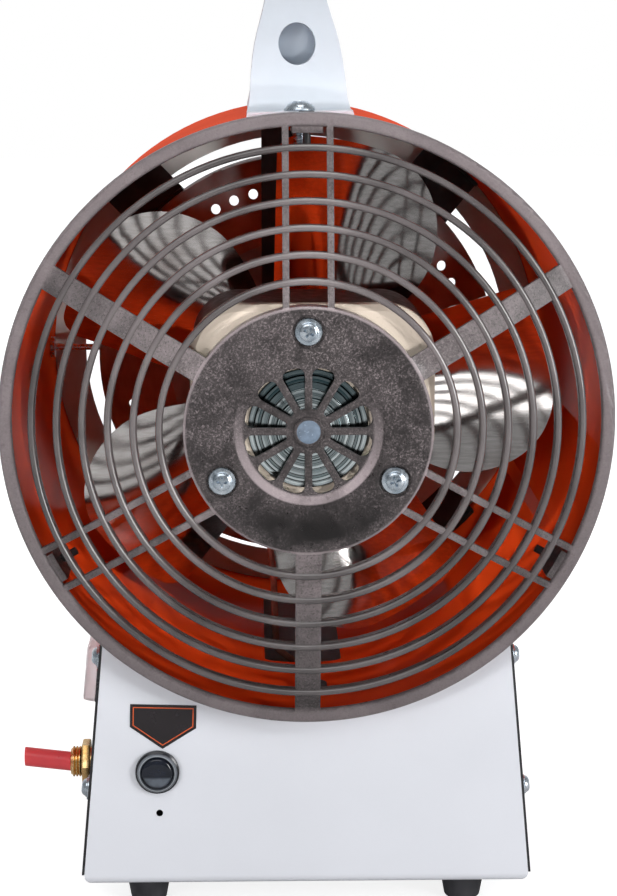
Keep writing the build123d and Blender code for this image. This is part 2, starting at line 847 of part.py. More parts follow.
with BuildPart() as combustion_cone:
    with BuildSketch(along):
        with BuildLine():
            Polyline(
                (cone_front_y, cone_r),
                (cone_knee_y, cone_r),
                (cone_rear_y, cone_rear_r),
                (cone_rear_y, cone_opening_r),
                (cone_rear_y + cone_wall, cone_opening_r),
                (cone_rear_y + cone_wall, cone_rear_r - cone_wall),
                (cone_knee_y, cone_r - cone_wall),
                (cone_front_y, cone_r - cone_wall),
                close=True,
            )
        make_face()
    revolve(axis=tube_axis)
    # air holes near the hot edge, in groups
    for group in range(cone_hole_groups):
        for k in range(cone_holes_in_group):
            angle = 98 + 90 * group + cone_hole_pitch * k
            with BuildSketch(radial_plane(angle, cone_front_y - cone_hole_inset, cone_r + 2)):
                Circle(cone_hole_r)
            extrude(amount=-6, mode=Mode.SUBTRACT)
    # the hole for the probe
    with BuildSketch(Plane.YZ):
        with Locations((probe_y, axis_z + probe_z)):
            Circle(probe_r + loose)
    extrude(amount=-tube_r, mode=Mode.SUBTRACT)
save(combustion_cone, "combustion_cone")

with BuildPart() as chamber_brackets:
    with BuildSketch(along):
        with BuildLine():
            Polyline(
                (bracket_y - bracket_sheet, cone_r + seat),
                (bracket_y - bracket_sheet, tube_bore_r - seat),
                (bracket_y - bracket_flange, tube_bore_r - seat),
                (bracket_y - bracket_flange, tube_bore_r - seat - bracket_sheet),
                (bracket_y - 2 * bracket_sheet, tube_bore_r - seat - bracket_sheet),
                (bracket_y - 2 * bracket_sheet, cone_r + seat + bracket_sheet),
                (bracket_y - bracket_flange, cone_r + seat + bracket_sheet),
                (bracket_y - bracket_flange, cone_r + seat),
                close=True,
            )
        make_face()
    revolve(axis=tube_axis)
    with BuildSketch(facing_rear(bracket_y)):
        for angle in bracket_angles:
            with PolarLocations((cone_r + tube_r) / 2, 1, angle):
                Rectangle(2 * (tube_r - cone_r), bracket_width)
    extrude(amount=2 * bracket_flange, mode=Mode.INTERSECT)
save(chamber_brackets, "chamber_brackets")

strap_front_y = strap_y + strap_sheet

with BuildPart() as burner_bracket:
    # the strap from the top of the tube, with the plate in the middle and the foot below
    with BuildSketch(facing_rear(strap_front_y)):
        with Locations((strap_x, 0)):
            Rectangle(strap_width, tube_bore_r, align=(Align.CENTER, Align.MIN))
            Rectangle(strap_foot_width, strap_foot_drop, align=(Align.CENTER, Align.MAX))
        RectangleRounded(plate_side, plate_side, 6)
    extrude(amount=strap_sheet)
    # the tab bent forward along the tube's roof
    with BuildSketch(facing_rear(strap_front_y + strap_tab)):
        with Locations((strap_x, tube_bore_r)):
            Rectangle(strap_width, 4 * strap_sheet, align=(Align.CENTER, Align.MAX))
        Circle(tube_bore_r - seat - strap_sheet, mode=Mode.SUBTRACT)
    extrude(amount=strap_tab + strap_sheet)
    # the foot bent forward, and turned down against the cone's rear wall
    with BuildSketch(facing_rear(cone_rear_y - seat)):
        with Locations((strap_x, -strap_foot_drop)):
            Rectangle(strap_foot_width, strap_sheet, align=(Align.CENTER, Align.MIN))
    extrude(amount=cone_rear_y - seat - strap_y)
    with BuildSketch(facing_rear(cone_rear_y - seat)):
        with Locations((strap_x, -strap_foot_drop)):
            Rectangle(strap_foot_width, strap_tab, align=(Align.CENTER, Align.MIN))
    extrude(amount=strap_sheet)
    with BuildSketch(facing_rear(cone_rear_y)):
        Circle(2 * tube_r)
        Circle(tube_bore_r - seat, mode=Mode.SUBTRACT)
    extrude(amount=60, both=True, mode=Mode.SUBTRACT)
    # the holes for the nozzle and the electrode
    with BuildSketch(facing_rear(strap_front_y)):
        Circle(nozzle_r + seat)
        with Locations((electrode_x, electrode_z)):
            Circle(electrode_r + seat)
    extrude(amount=strap_sheet, mode=Mode.SUBTRACT)
save(burner_bracket, "burner_bracket")

with BuildPart() as burner_head:
    with BuildSketch(along):
        with BuildLine():
            Polyline(
                (strap_front_y, nozzle_r + seat),
                (strap_front_y, burner_r - 4),
                (strap_front_y + 8, burner_r),
                (strap_front_y + burner_length, burner_r),
                (strap_front_y + burner_length, 0),
                (strap_front_y + burner_length - burner_wall, 0),
                (strap_front_y + burner_length - burner_wall, burner_r - burner_wall),
                (strap_front_y + 8, burner_r - burner_wall),
                (strap_front_y + burner_wall, burner_r - 4 - burner_wall),
                (strap_front_y + burner_wall, nozzle_r + seat),
                close=True,
            )
        make_face()
    revolve(axis=tube_axis)
    with BuildSketch(facing_rear(strap_front_y + burner_length)):
        with PolarLocations(burner_r - burner_wall - burner_port_r - 1, 6):
            Circle(burner_port_r)
    extrude(amount=burner_wall, mode=Mode.SUBTRACT)
save(burner_head, "burner_head")

with BuildPart() as flame_disc:
    with BuildSketch(facing_rear(flame_disc_y)):
        Circle(cone_inner_radius(flame_disc_y - cone_wall) - seat)
        Circle(flame_disc_bore_r, mode=Mode.SUBTRACT)
        with PolarLocations(flame_hole_circle_r, flame_hole_count):
            Circle(flame_hole_r, mode=Mode.SUBTRACT)
    extrude(amount=cone_wall)
save(flame_disc, "flame_disc")

with BuildPart() as gas_nozzle:
    # a brass block on the bracket, with the jet through the plate
    with BuildSketch(facing_rear(strap_y - seat)):
        RectangleRounded(nozzle_block, nozzle_block, 3)
    extrude(amount=nozzle_block_depth)
    with BuildSketch(facing_rear(strap_y + nozzle_length)):
        Circle(nozzle_tip_r)
    extrude(amount=nozzle_length + 1)
    with BuildSketch(facing_rear(strap_y + nozzle_length / 2)):
        Circle(nozzle_r)
    extrude(amount=nozzle_length / 2 + 1)
    # the socket for the pipe
    with BuildSketch(Plane.XY.offset(axis_z - nozzle_block)):
        with Locations((pipe_x, pipe_y)):
            Circle(pipe_r + fit)
    extrude(amount=nozzle_block - 3, mode=Mode.SUBTRACT)
save(gas_nozzle, "gas_nozzle")

with BuildPart() as ignition_electrode:
    electrode_plane = rear_wall_at(
        electrode_x, strap_front_y + electrode_front, axis_z + electrode_z
    )
    with BuildSketch(electrode_plane):
        Circle(electrode_r)
    extrude(amount=electrode_front + strap_sheet + electrode_rear)
    with BuildSketch(electrode_plane.offset(-electrode_wire)):
        Circle(electrode_wire_r)
    extrude(amount=electrode_wire)
save(ignition_electrode, "ignition_electrode")

with BuildPart() as flame_probe:
    # a rod that reaches through the cone's wall from a flange on the tube's wall
    probe_wall_x = -sqrt((tube_bore_r - seat) ** 2 - (abs(probe_z) + probe_flange_r) ** 2)
    with BuildSketch(Plane.YZ.offset(probe_wall_x)):
        with Locations((probe_y, axis_z + probe_z)):
            Circle(probe_flange_r)
    extrude(amount=probe_flange)
    with BuildSketch(Plane.YZ.offset(probe_wall_x)):
        with Locations((probe_y, axis_z + probe_z)):
            Circle(probe_r)
    extrude(amount=probe_reach)
save(flame_probe, "flame_probe")

# ---------------------------------------------------------------------------------------------
# Base
# ---------------------------------------------------------------------------------------------

cover_screw_places = [
    (side, base_rear_y + y, z)
    for side in (-1, 1)
    for y in cover_screw_ys
    for z in cover_screw_zs
]
foot_ys = (base_rear_y + foot_rear_inset, base_front_y - foot_front_inset)
foot_places = [(x, y) for x in (-foot_x, foot_x) for y in foot_ys]


def side_strip(side, low, high, inside, outside):
    """A strip that follows a leaning side, drawn between two distances from the base's side."""
    with BuildSketch() as strip:
        with BuildLine():
            Polyline(
                (side * (base_half(low) + inside), low - axis_z),
                (side * (base_half(high) + inside), high - axis_z),
                (side * (base_half(high) + outside), high - axis_z),
                (side * (base_half(low) + outside), low - axis_z),
                close=True,
            )
        make_face()
    return strip.sketch


with BuildPart() as base_channel:
    # one sheet bent to a U: rear wall, floor and front wall
    with BuildSketch(Plane.YZ) as channel:
        with Locations((base_rear_y, base_bottom_z)):
            Rectangle(base_length, base_top_z - base_bottom_z, align=Align.MIN)
        fillet(channel.vertices().group_by(Axis.Y)[0], base_bend)
        offset(amount=-base_sheet, mode=Mode.SUBTRACT)
    extrude(amount=base_bottom_half, both=True)
    # the leaning sides
    with BuildSketch(facing_rear(base_front_y)) as outline:
        with BuildLine():
            Polyline(
                (-base_half(base_bottom_z), base_bottom_z - axis_z),
                (-base_half(base_top_z), base_top_z - axis_z),
                (base_half(base_top_z), base_top_z - axis_z),
                (base_half(base_bottom_z), base_bottom_z - axis_z),
                close=True,
            )
        make_face()
        fillet(outline.vertices().group_by(Axis.Y)[0], base_corner)
    extrude(amount=base_length, mode=Mode.INTERSECT)
    # the tube's seat
    with BuildSketch(facing_rear(base_front_y)):
        Circle(tube_r + seat)
    extrude(amount=base_length, mode=Mode.SUBTRACT)
    # holes in the rear wall, the floor and the front wall
    with BuildSketch(rear_wall_at(0, base_rear_y + 2 * base_sheet, 0)):
        with Locations((igniter_x, igniter_z)):
            Circle(bezel_neck_r + seat)
        with Locations((indicator_hole_x, indicator_hole_z)):
            Circle(indicator_hole_r)
    extrude(amount=3 * base_sheet, mode=Mode.SUBTRACT)
    with BuildSketch(Plane.XY.offset(base_bottom_z)):
        with Locations(*foot_places):
            Circle(foot_screw_r + seat)
    extrude(amount=base_sheet, mode=Mode.SUBTRACT)
    with BuildSketch(rear_wall_at(gland_x, base_front_y, gland_z)):
        Circle(gland_thread_r + seat)
    extrude(amount=base_sheet, mode=Mode.SUBTRACT)
save(base_channel, "base_channel")

with BuildPart() as cover_rails:
    # angle strips welded inside the corners of the base, which take the covers' screws
    inner_rear_y = base_rear_y + base_sheet
    inner_front_y = base_front_y - base_sheet
    for y, wall_y in (
        (inner_rear_y + rail_width, inner_rear_y + base_sheet),
        (inner_front_y, inner_front_y),
    ):
        with BuildSketch(facing_rear(y)):
            for side in (-1, 1):
                add(side_strip(side, rail_low, rail_high, -base_sheet, 0))
        extrude(amount=rail_width)
        with BuildSketch(facing_rear(wall_y)):
            for side in (-1, 1):
                add(side_strip(side, rail_low, rail_high, -rail_depth, 0))
        extrude(amount=base_sheet)
    with BuildSketch(facing_rear(base_front_y)):
        Circle(tube_r + loose)
    extrude(amount=base_length, mode=Mode.SUBTRACT)
    for side, y, z in cover_screw_places:
        with BuildSketch(side_plane(side, y, z)):
            Circle(cover_screw_r + seat)
        extrude(amount=2 * base_sheet, both=True, mode=Mode.SUBTRACT)
save(cover_rails, "cover_rails")

cover_out = seat + cover_sheet


def side_cover(side):
    """A flat cover that leans with the side of the base, with a hem turned in at the bottom."""
    with BuildPart() as cover:
        with BuildSketch(facing_rear(base_front_y - cover_inset)):
            add(side_strip(side, cover_low, cover_high, seat, cover_out))
        extrude(amount=base_length - 2 * cover_inset)
        for _, y, z in [place for place in cover_screw_places if place[0] == side]:
            with BuildSketch(side_plane(side, y, z)):
                Circle(cover_screw_r + seat)
            extrude(amount=2 * cover_out, mode=Mode.SUBTRACT)
        with BuildSketch(facing_rear(base_front_y)):
            Circle(tube_r + loose)
        extrude(amount=base_length, mode=Mode.SUBTRACT)
    return cover


left_side_cover = side_cover(-1)
with BuildPart() as left_cover:
    add(left_side_cover.part)
    with BuildSketch(Plane.YZ.offset(-base_bottom_half - 10)):
        with Locations((inlet_y, inlet_z)):
            Circle(inlet_neck_r + 2 * seat)
    extrude(amount=30, mode=Mode.SUBTRACT)
    with BuildSketch(side_plane(-1, switch_y, switch_z)):
        Rectangle(switch_body_width + 4 * seat, switch_body_height + 4 * seat)
    extrude(amount=2 * cover_out, mode=Mode.SUBTRACT)
save(left_cover, "left_side_cover")

right_side_cover = side_cover(1)
save(right_side_cover, "right_side_cover")

with BuildPart() as side_cover_screws:
    for side, y, z in cover_screw_places:
        with BuildSketch(side_plane(side, y, z, cover_out + seat + washer)):
            Circle(cover_screw_head_r)
        extrude(amount=cover_screw_head, taper=20)
        with BuildSketch(side_plane(side, y, z, cover_out + seat + washer + seat)):
            Circle(cover_screw_r)
        extrude(amount=-cover_screw_length)
save(side_cover_screws, "side_cover_screws")

with BuildPart() as cover_washers:
    for side, y, z in cover_screw_places:
        with BuildSketch(side_plane(side, y, z, cover_out + seat)):
            Circle(washer_r)
            Circle(cover_screw_r + seat, mode=Mode.SUBTRACT)
        extrude(amount=washer)
save(cover_washers, "cover_washers")

with BuildPart() as rubber_feet:
    with BuildSketch(Plane.XY.offset(base_bottom_z)):
        with Locations(*foot_places):
            Circle(foot_top_r)
    extrude(
        amount=-base_bottom_z,
        taper=degrees(atan((foot_top_r - foot_bottom_r) / base_bottom_z)),
    )
    with BuildSketch(Plane.XY):
        with Locations(*foot_places):
            Circle(foot_recess_r)
    extrude(amount=foot_recess, mode=Mode.SUBTRACT)
    with BuildSketch(Plane.XY):
        with Locations(*foot_places):
            Circle(foot_screw_r + seat)
    extrude(amount=base_bottom_z, mode=Mode.SUBTRACT)
save(rubber_feet, "rubber_feet")

with BuildPart() as feet_screws:
    with BuildSketch(Plane.XY.offset(foot_recess)):
        with Locations(*foot_places):
            Circle(foot_screw_head_r)
    extrude(amount=-foot_screw_head)
    with BuildSketch(Plane.XY.offset(foot_recess)):
        with Locations(*foot_places):
            Circle(foot_screw_r)
    extrude(amount=foot_screw_length)
save(feet_screws, "feet_screws")

with BuildPart() as feet_nuts:
    with BuildSketch(Plane.XY.offset(base_floor_z)):
        with Locations(*foot_places):
            RegularPolygon(foot_nut_flats / 2, 6, major_radius=False)
            Circle(foot_screw_r + fit, mode=Mode.SUBTRACT)
    extrude(amount=foot_nut)
save(feet_nuts, "feet_nuts")

# ---------------------------------------------------------------------------------------------
# Igniter
# ---------------------------------------------------------------------------------------------

bezel_rear_y = base_rear_y - bezel_proud
igniter_front_y = base_rear_y + igniter_length
button_rear_y = bezel_rear_y - button_proud + bezel_proud / 2

with BuildPart() as igniter_body:
    # the bezel's neck and the closed generator behind the wall, in one moulding
    with BuildSketch(rear_wall_at(igniter_x, igniter_front_y, igniter_z)):
        Circle(bezel_neck_r)
    extrude(amount=igniter_length)
    with BuildSketch(rear_wall_at(igniter_x, base_rear_y - seat + igniter_cavity, igniter_z)):
        Circle(bezel_bore_r)
    extrude(amount=igniter_cavity, mode=Mode.SUBTRACT)
save(igniter_body, "igniter_body")

with BuildPart() as igniter_bezel:
    with BuildSketch(rear_wall_at(igniter_x, base_rear_y - seat / 2, igniter_z)):
        Circle(bezel_r)
        Circle(bezel_bore_r, mode=Mode.SUBTRACT)
    extrude(amount=bezel_proud)
    fillet(igniter_bezel.edges().group_by(Axis.Y)[0].sort_by(SortBy.RADIUS)[-1], 1.0)
    chamfer(igniter_bezel.edges().group_by(Axis.Y)[0].sort_by(SortBy.RADIUS)[0], 0.6)
save(igniter_bezel, "igniter_bezel")

with BuildPart() as igniter_nut_piece:
    igniter_nut_plane = rear_wall_at(
        igniter_x, base_rear_y + base_sheet + seat + igniter_nut, igniter_z
    )
    with BuildSketch(igniter_nut_plane):
        RegularPolygon(igniter_nut_flats / 2, 6, major_radius=False)
        Circle(bezel_neck_r + fit, mode=Mode.SUBTRACT)
    extrude(amount=igniter_nut)
save(igniter_nut_piece, "igniter_nut")

with BuildPart() as igniter_button:
    with BuildSketch(rear_wall_at(igniter_x, button_rear_y + button_length, igniter_z)):
        Circle(bezel_bore_r - sliding)
    extrude(amount=button_length)
    fillet(igniter_button.edges().group_by(Axis.Y)[0], button_dome)
save(igniter_button, "igniter_button")

# ---------------------------------------------------------------------------------------------
# Gas inlet, valve and pipe
# ---------------------------------------------------------------------------------------------

hex_outer_x = inlet_tip_x + inlet_thread


def inlet_plane(x):
    """A plane square to the gas inlet, whose normal points to the right."""
    return Plane(origin=(x, inlet_y, inlet_z), x_dir=(0, 1, 0), z_dir=(1, 0, 0))


with BuildPart() as gas_inlet_fitting:
    with BuildSketch(inlet_plane(inlet_tip_x)):
        Circle(inlet_thread_r)
    extrude(amount=inlet_thread)
    with BuildSketch(inlet_plane(hex_outer_x)):
        RegularPolygon(inlet_hex_flats / 2, 6, major_radius=False)
    extrude(amount=inlet_hex)
    with BuildSketch(inlet_plane(hex_outer_x + inlet_hex)):
        Circle(inlet_neck_r)
    extrude(amount=valve_x + 6 - hex_outer_x - inlet_hex)
    with BuildSketch(inlet_plane(inlet_tip_x)):
        Circle(inlet_bore_r)
    extrude(amount=valve_x + 6 - inlet_tip_x, mode=Mode.SUBTRACT)
save(gas_inlet_fitting, "gas_inlet_fitting")

with BuildPart() as inlet_plug:
    # the red plug that keeps dirt out of the inlet until the hose is screwed on
    with BuildSketch(inlet_plane(plug_tip_x)):
        Circle(plug_r)
    extrude(amount=inlet_tip_x - seat - plug_tip_x)
    with BuildSketch(inlet_plane(inlet_tip_x - seat)):
        Circle(inlet_bore_r - sliding)
    extrude(amount=plug_shank)
    with BuildSketch(inlet_plane(plug_tip_x)):
        Circle(plug_bore_r)
    extrude(amount=plug_bore, mode=Mode.SUBTRACT)
save(inlet_plug, "inlet_plug")

with BuildPart() as gas_valve:
    with BuildSketch(inlet_plane(valve_x)):
        RectangleRounded(valve_side, valve_side, 3)
    extrude(amount=valve_length)
    with BuildSketch(Plane.XY.offset(inlet_z + valve_side / 2 - 1)):
        with Locations((valve_x + valve_length / 2, inlet_y)):
            Circle(coil_r)
    extrude(amount=coil_height)
    with BuildSketch(inlet_plane(valve_x)):
        Circle(inlet_neck_r + fit)
    extrude(amount=8, mode=Mode.SUBTRACT)
    with BuildSketch(inlet_plane(valve_x + valve_length - 6)):
        Circle(pipe_r + fit)
    extrude(amount=6, mode=Mode.SUBTRACT)
save(gas_valve, "gas_valve")

with BuildPart() as valve_foot:
    # a U-shaped bracket that carries the valve on the floor of the base
    valve_bottom_z = inlet_z - valve_side / 2 - seat
    with BuildSketch(inlet_plane(valve_x + 4)) as foot_profile:
        with BuildLine():
            half = valve_side / 2 - 2
            Polyline(
                (-half, base_floor_z - inlet_z),
                (-half, valve_bottom_z - inlet_z),
                (half, valve_bottom_z - inlet_z),
                (half, base_floor_z - inlet_z),
                (half - valve_foot_sheet, base_floor_z - inlet_z),
                (half - valve_foot_sheet, valve_bottom_z - valve_foot_sheet - inlet_z),
                (-half + valve_foot_sheet, valve_bottom_z - valve_foot_sheet - inlet_z),
                (-half + valve_foot_sheet, base_floor_z - inlet_z),
                close=True,
            )
        make_face()
    extrude(amount=valve_length - 8)
save(valve_foot, "valve_foot")


def tube_along(points, radius, bend, name):
    """A solid round tube through the points, with its corners turned at the radius bend."""
    with BuildPart() as tube:
        with BuildLine() as route:
            FilletPolyline(*points, radius=bend)
        path = route.wires()[0]
        with BuildSketch(Plane(origin=path @ 0, z_dir=path % 0)):
            Circle(radius)
        sweep(path=path)
    share = tube.part.volume / (pi * radius**2 * path.length)
    print(f"{name}: length {path.length:.1f}, volume over section {share:.4f}")
    save(tube, name)


tube_along(
    [
        (valve_x + valve_length - 5, inlet_y, inlet_z),
        (pipe_x, inlet_y, inlet_z),
        (pipe_x, pipe_y, inlet_z),
        (pipe_x, pipe_y, axis_z - 4),
    ],
    pipe_r,
    pipe_bend,
    "gas_pipe",
)

# the igniter's lead, from its generator through the slot to the electrode
lead_start = (igniter_x, igniter_front_y + seat, igniter_z + 3)
lead_end = (electrode_x, strap_y - electrode_rear - seat, axis_z + electrode_z)
tube_along(
    [
        lead_start,
        (lead_start[0], lead_start[1] + 10, lead_start[2]),
        (-38.0, -54.0, 70.0),
        (-4.0, -52.0, 62.0),
        (20.0, -20.0, 58.0),
        (24.0, 30.0, 58.0),
        (6.0, 46.0, 62.0),
        (-11.0, 42.0, 76.0),
        (-12.0, 38.0, 110.0),
        (-16.0, 32.0, 150.0),
        (-21.0, 18.0, 190.0),
        (lead_end[0], lead_end[1] - 10, lead_end[2]),
        lead_end,
    ],
    lead_r,
    5.0,
    "ignition_lead",
)

# the motor's lead, down through the tube's floor to the terminals
terminal_top_z = base_floor_z + terminal_height
tube_along(
    [
        (motor_lead_x, motor_lead_y, axis_z - motor_r + 3),
        (motor_lead_x, motor_lead_y, 64.0),
        (24.0, -50.0, 48.0),
        (terminal_x, 0.0, 44.0),
        (terminal_x, terminal_y, 40.0),
        (terminal_x, terminal_y, terminal_top_z + seat),
    ],
    motor_lead_r,
    6.0,
    "motor_lead",
)

with BuildPart() as lead_grommet:
    grommet_top_z = axis_z - sqrt(tube_bore_r**2 - (motor_lead_x + grommet_r) ** 2) + seat
    grommet_bottom_z = axis_z - tube_r - seat
    hole_r = grommet_r - grommet_flange - seat
    with BuildSketch(Plane.XY.offset(grommet_top_z)):
        with Locations((motor_lead_x, motor_lead_y)):
            Circle(grommet_r)
    extrude(amount=grommet_flange)
    with BuildSketch(Plane.XY.offset(grommet_bottom_z)):
        with Locations((motor_lead_x, motor_lead_y)):
            Circle(grommet_r)
    extrude(amount=-grommet_flange)
    with BuildSketch(Plane.XY.offset(grommet_bottom_z)):
        with Locations((motor_lead_x, motor_lead_y)):
            Circle(hole_r)
    extrude(amount=grommet_top_z - grommet_bottom_z)
    with BuildSketch(Plane.XY.offset(grommet_bottom_z - grommet_flange)):
        with Locations((motor_lead_x, motor_lead_y)):
            Circle(motor_lead_r + seat)
    extrude(amount=20, mode=Mode.SUBTRACT)
save(lead_grommet, "lead_grommet")

# ---------------------------------------------------------------------------------------------
# Switch
# ---------------------------------------------------------------------------------------------

switch_face = side_plane(-1, switch_y, switch_z, cover_out + seat)

with BuildPart() as switch_body:
    with BuildSketch(switch_face):
        RectangleRounded(switch_width, switch_height, 2)
    extrude(amount=switch_rim)
    with BuildSketch(switch_face):
        RectangleRounded(switch_body_width, switch_body_height, 1)
    extrude(amount=-switch_body_depth)
    with BuildSketch(switch_face.offset(switch_rim)):
        Rectangle(rocker_width + 2 * loose, rocker_pocket)
    extrude(amount=-rocker_pocket_depth, mode=Mode.SUBTRACT)
save(switch_body, "switch_body")

with BuildPart() as switch_rocker:
    # a moulding with two sloping faces: the upper end stands out at rest
    rocker_plane = Plane(
        origin=switch_face.origin,
        x_dir=switch_face.y_dir,
        z_dir=switch_face.x_dir,
    )
    half_h = rocker_height / 2
    with BuildSketch(rocker_plane) as rocker_profile:
        with BuildLine():
            Polyline(
                (-half_h + 0.6, 0.2),
                (0, switch_rim + 0.2),
                (half_h, switch_rim + rocker_proud),
                (half_h - 1.2, -rocker_depth / 2),
                (half_h / 2, -rocker_depth),
                (-half_h / 2, -rocker_depth),
                (-half_h + 0.6, -rocker_depth / 2),
                close=True,
            )
        make_face()
    extrude(amount=rocker_width / 2, both=True)
save(switch_rocker, "switch_rocker")

with BuildPart() as switch_cover:
    # a clear hood over the rocker, clipped on the switch's rim
    with BuildSketch(switch_face.offset(switch_rim + seat)):
        RectangleRounded(switch_width, switch_height, 3)
    extrude(amount=switch_cover_proud - switch_rim, taper=6)
    fillet(switch_cover.edges().group_by(Axis.X)[0], 1.2)
    with BuildSketch(switch_face.offset(switch_rim + seat)):
        RectangleRounded(
            switch_width - 2 * switch_cover_wall, switch_height - 2 * switch_cover_wall, 2
        )
    extrude(
        amount=switch_cover_proud - switch_rim - switch_cover_wall, taper=6, mode=Mode.SUBTRACT
    )
save(switch_cover, "switch_cover")

# ---------------------------------------------------------------------------------------------
# Terminals, thermostat and cable gland
# ---------------------------------------------------------------------------------------------

with BuildPart() as terminal_block:
    with BuildSketch(Plane.XY.offset(base_floor_z)):
        with Locations((terminal_x, terminal_y)):
            Rectangle(terminal_width, terminal_depth)
    extrude(amount=terminal_height * 0.6)
    with BuildSketch(Plane.XY.offset(base_floor_z)):
        with Locations((terminal_x, terminal_y)):
            with GridLocations(terminal_width / 3, 0, 3, 1):
                Rectangle(terminal_pole, terminal_depth)
    extrude(amount=terminal_height)
save(terminal_block, "terminal_block")

with BuildPart() as overheat_thermostat:
    with BuildSketch(radial_plane(thermostat_angle, thermostat_y, tube_r + seat)):
        Rectangle(thermostat_ear, 8)
    extrude(amount=1.0)
    with BuildSketch(radial_plane(thermostat_angle, thermostat_y, tube_r + seat)):
        Circle(thermostat_r)
    extrude(amount=thermostat_height)
save(overheat_thermostat, "overheat_thermostat")

with BuildPart() as cable_gland:
    gland_plane = rear_wall_at(gland_x, base_front_y + seat, gland_z)
    with BuildSketch(gland_plane):
        RegularPolygon(gland_flats / 2, 6, major_radius=False)
    extrude(amount=-gland_length * 0.4)
    with BuildSketch(gland_plane.offset(-gland_length * 0.4)):
        Circle(gland_thread_r + 1)
    extrude(amount=-gland_length * 0.6, taper=8)
    with BuildSketch(gland_plane):
        Circle(gland_thread_r)
    extrude(amount=base_sheet + 10)
    with BuildSketch(gland_plane.offset(-gland_length)):
        Circle(gland_bore_r)
    extrude(amount=gland_length + base_sheet + 12, mode=Mode.SUBTRACT)
save(cable_gland, "cable_gland")

with BuildPart() as gland_nut:
    with BuildSketch(rear_wall_at(gland_x, base_front_y - base_sheet - seat, gland_z)):
        RegularPolygon(gland_flats / 2, 6, major_radius=False)
        Circle(gland_thread_r + fit, mode=Mode.SUBTRACT)
    extrude(amount=4)
save(gland_nut, "gland_nut")

# ---------------------------------------------------------------------------------------------
# Carrying handle
# ---------------------------------------------------------------------------------------------

handle_seat_r = tube_r + seat
tab_top = handle_seat_r + handle_tab
grip_top = tube_r + handle_top
grip_bottom = grip_top - grip_depth


def leaning(upright, name):
    """Turns a piece of the handle about the tube's axis and saves it."""
    with BuildPart() as piece:
        add(upright.part.rotate(tube_axis, -handle_lean))
    save(piece, name)


with BuildPart() as carry_handle:
    # the view from the side: two legs and a grip over the gap for the fingers
    with BuildSketch(along) as side_view:
        with BuildLine():
            Polyline(
                (handle_rear_y, handle_seat_r - 6),
                (handle_rear_y, tab_top),
                (handle_rear_y + 26, tab_top),
                (handle_rear_y + 52, grip_top),
                (handle_front_y - 24, grip_top),
                (handle_front_y - 20, tab_top),
                (handle_front_y, tab_top),
                (handle_front_y, handle_seat_r - 6),
                close=True,
            )
        make_face()
        fillet(side_view.vertices().group_by(Axis.Y)[-1], 16)
        feet_of_legs = side_view.vertices().group_by(Axis.Y)[1].sort_by(Axis.X)
        fillet(feet_of_legs[1], 7)
        feet_of_legs = side_view.vertices().group_by(Axis.Y)[1].sort_by(Axis.X)
        fillet(feet_of_legs[-2], 1)
        with BuildSketch(mode=Mode.SUBTRACT) as gap:
            with BuildLine():
                Polyline(
                    (handle_rear_y + 60, handle_seat_r - 6),
                    (handle_rear_y + 76, grip_bottom),
                    (handle_front_y - 42, grip_bottom),
                    (handle_front_y - 36, handle_seat_r - 6),
                    close=True,
                )
            make_face()
            fillet(gap.vertices().group_by(Axis.Y)[-1], 12)
    extrude(amount=handle_half_foot, both=True)
    # the view from behind: wide at the foot and narrow at the grip
    with BuildSketch(facing_rear(handle_front_y + 5)) as rear_view:
        with BuildLine():
            for side in (-1, 1):
                Polyline(
                    (side * handle_half_foot, handle_seat_r - 6),
                    (side * handle_half_foot, tab_top - 1.5),
                    (side * handle_half_leg, tube_r + handle_foot_height + 1.5),
                )
                Spline(
                    (side * handle_half_leg, tube_r + handle_foot_height + 1.5),
                    (side * handle_half_mid, tube_r + handle_mid_height),
                    (side * handle_half_grip, tube_r + handle_neck_height),
                    tangents=[(-side * 0.06, 1), (-side * 0.16, 1)],
                )
                Line(
                    (side * handle_half_grip, tube_r + handle_neck_height),
                    (side * handle_half_grip, grip_top + 5),
                )
            Line((-handle_half_grip, grip_top + 5), (handle_half_grip, grip_top + 5))
            Line(
                (-handle_half_foot, handle_seat_r - 6), (handle_half_foot, handle_seat_r - 6)
            )
        make_face()
    extrude(amount=handle_front_y - handle_rear_y + 10, mode=Mode.INTERSECT)
    # the seat on the tube
    with BuildSketch(facing_rear(handle_front_y + 5)):
        Circle(handle_seat_r)
    extrude(amount=handle_front_y - handle_rear_y + 10, mode=Mode.SUBTRACT)
    # the oval hollow in the rear leg
    with BuildSketch(facing_rear(handle_rear_y + 45 + thumb_depth)):
        with Locations((0, tube_r + thumb_middle)):
            Ellipse(thumb_width / 2, thumb_height / 2)
    extrude(amount=40, mode=Mode.SUBTRACT)
    # the bolt holes
    with BuildSketch(Plane.XY.offset(axis_z)):
        with Locations(*[(0, y) for y in handle_bolt_ys]):
            Circle(handle_bolt_r + seat)
    extrude(amount=tube_r + 20, mode=Mode.SUBTRACT)
leaning(carry_handle, "carry_handle")

with BuildPart() as handle_bolts:
    # mushroom heads on the tabs
    with BuildSketch(Plane.XY.offset(axis_z + tab_top + seat)):
        with Locations(*[(0, y) for y in handle_bolt_ys]):
            Circle(handle_bolt_head_r)
    extrude(amount=handle_bolt_head)
    fillet(handle_bolts.edges().group_by(Axis.Z)[-1], handle_bolt_head * 0.85)
    with BuildSketch(Plane.XY.offset(axis_z + tab_top + 2 * seat)):
        with Locations(*[(0, y) for y in handle_bolt_ys]):
            Circle(handle_bolt_r)
    extrude(amount=-(tab_top + 2 * seat - tube_bore_r + handle_bolt_reach))
leaning(handle_bolts, "handle_bolts")

